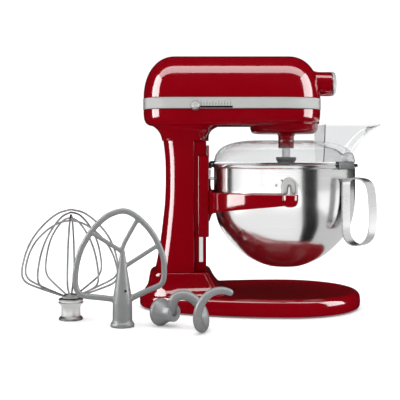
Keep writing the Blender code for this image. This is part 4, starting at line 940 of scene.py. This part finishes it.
def make_lights():
    painted = receivers("painted", ("red_paint", "black_plastic", "dark_rubber", "coated_tool", "print_ink"))
    soft_steel = ("handle_strap", "tool_shaft_bar")
    hard_satin = ("whisk_socket_hub",)
    soft = receivers("satin", ("satin_metal", "wire_steel"), soft_steel, hard_satin)
    metal = receivers("metal", ("polished_steel", "brushed_steel"), hard_satin, soft_steel)
    head = (0.07, 0, 0.30)
    softbox("top_box", (0.07, -0.38, 1.70), (0.07, -0.38, 0), (3.2, 0.66), 7.5, painted)
    softbox("left_box", (-1.45, -0.38, 0.82), (0.0, -0.38, 0.82), (0.90, 1.62), 15.0, painted)
    softbox("right_box", (1.60, -0.38, 0.82), (0.2, -0.38, 0.82), (0.90, 1.62), 12.5, painted)
    softbox("satin_front", (0.1, -2.8, 0.9), (0.1, 0, 0.9), (5.0, 3.4), 0.88, soft)
    softbox("satin_left", (-2.4, 0.0, 0.9), (0, 0, 0.9), (5.4, 3.4), 1.1, soft)
    softbox("satin_right", (2.6, 0.0, 0.9), (0, 0, 0.9), (5.4, 3.4), 1.1, soft)
    softbox("satin_top", (0.07, -0.1, 2.6), head, (4.6, 4.6), 1.0, soft)
    softbox("satin_below", (0.1, -0.2, FLOOR_BOX_Z), (0.1, -0.2, 1), (5.0, 5.0), 0.7, soft)
    softbox("metal_front", (-0.42, -2.6, 0.9), (-0.42, 0, 0.9), (3.27, 2.6), 0.88, metal)
    softbox("metal_left", (-2.1, -1.2, 0.9), (0, -1.2, 0.9), (2.8, 2.6), 0.95, metal)
    softbox("metal_right", (2.0, -0.45, 0.9), (0, -0.45, 0.9), (2.4, 2.6), 0.58, metal)
    softbox("metal_top", (0.07, -0.1, 2.3), head, (3.0, 2.4), 0.9, metal)
    floor_box("metal_below_left", DARK_GAP[0], -1, 0.95, metal)
    floor_box("metal_below_right", DARK_GAP[1], 1, 0.62, metal)


def make_camera():
    """A level camera beside the mixer, shifted down toward its base."""
    data = bpy.data.cameras.new("camera")
    data.lens = LENS
    data.sensor_width = 36.0
    data.shift_y = LENS_SHIFT
    data.clip_end = 50
    camera = bpy.data.objects.new("camera", data)
    camera.location = CAMERA_PLACE
    camera.rotation_euler = (math.pi / 2, 0, 0)
    bpy.context.scene.collection.objects.link(camera)
    bpy.context.scene.camera = camera


def main():
    make_upper_housing()
    make_trim_band()
    make_lower_housing()
    make_speed_knob()
    make_hub()
    make_planetary()
    make_column()
    make_base()
    make_carriage()
    make_lift_lever()
    make_bowl()
    make_handle()
    make_shield()
    standing = Matrix.Translation(BEATER_PLACE) @ Matrix.Rotation(BEATER_TURN, 4, "Z")
    make_beater("beater_cast", "flat_beater", "coated_tool", "beater", standing, 1.0)
    hanging = Matrix.Translation((BOWL_AXIS, -ORBIT, FITTED_BEATER_TOP)) @ Matrix.Rotation(math.pi, 4, "X")
    make_beater("fitted_beater_cast", "fitted_beater", "coated_tool", "tool_spindle", hanging,
                FITTED_BEATER_SCALE)
    make_whisk(*WHISK_PLACE)
    make_hook()
    dress_nodes()
    for name in ("beater_cast", "whisk_cage", "whisk_socket_hub", "hook_cast"):
        bpy.data.objects[name].visible_glossy = False
    make_floor()
    make_world()
    make_lights()
    make_camera()
    bpy.context.scene.view_settings.view_transform = "Standard"


main()
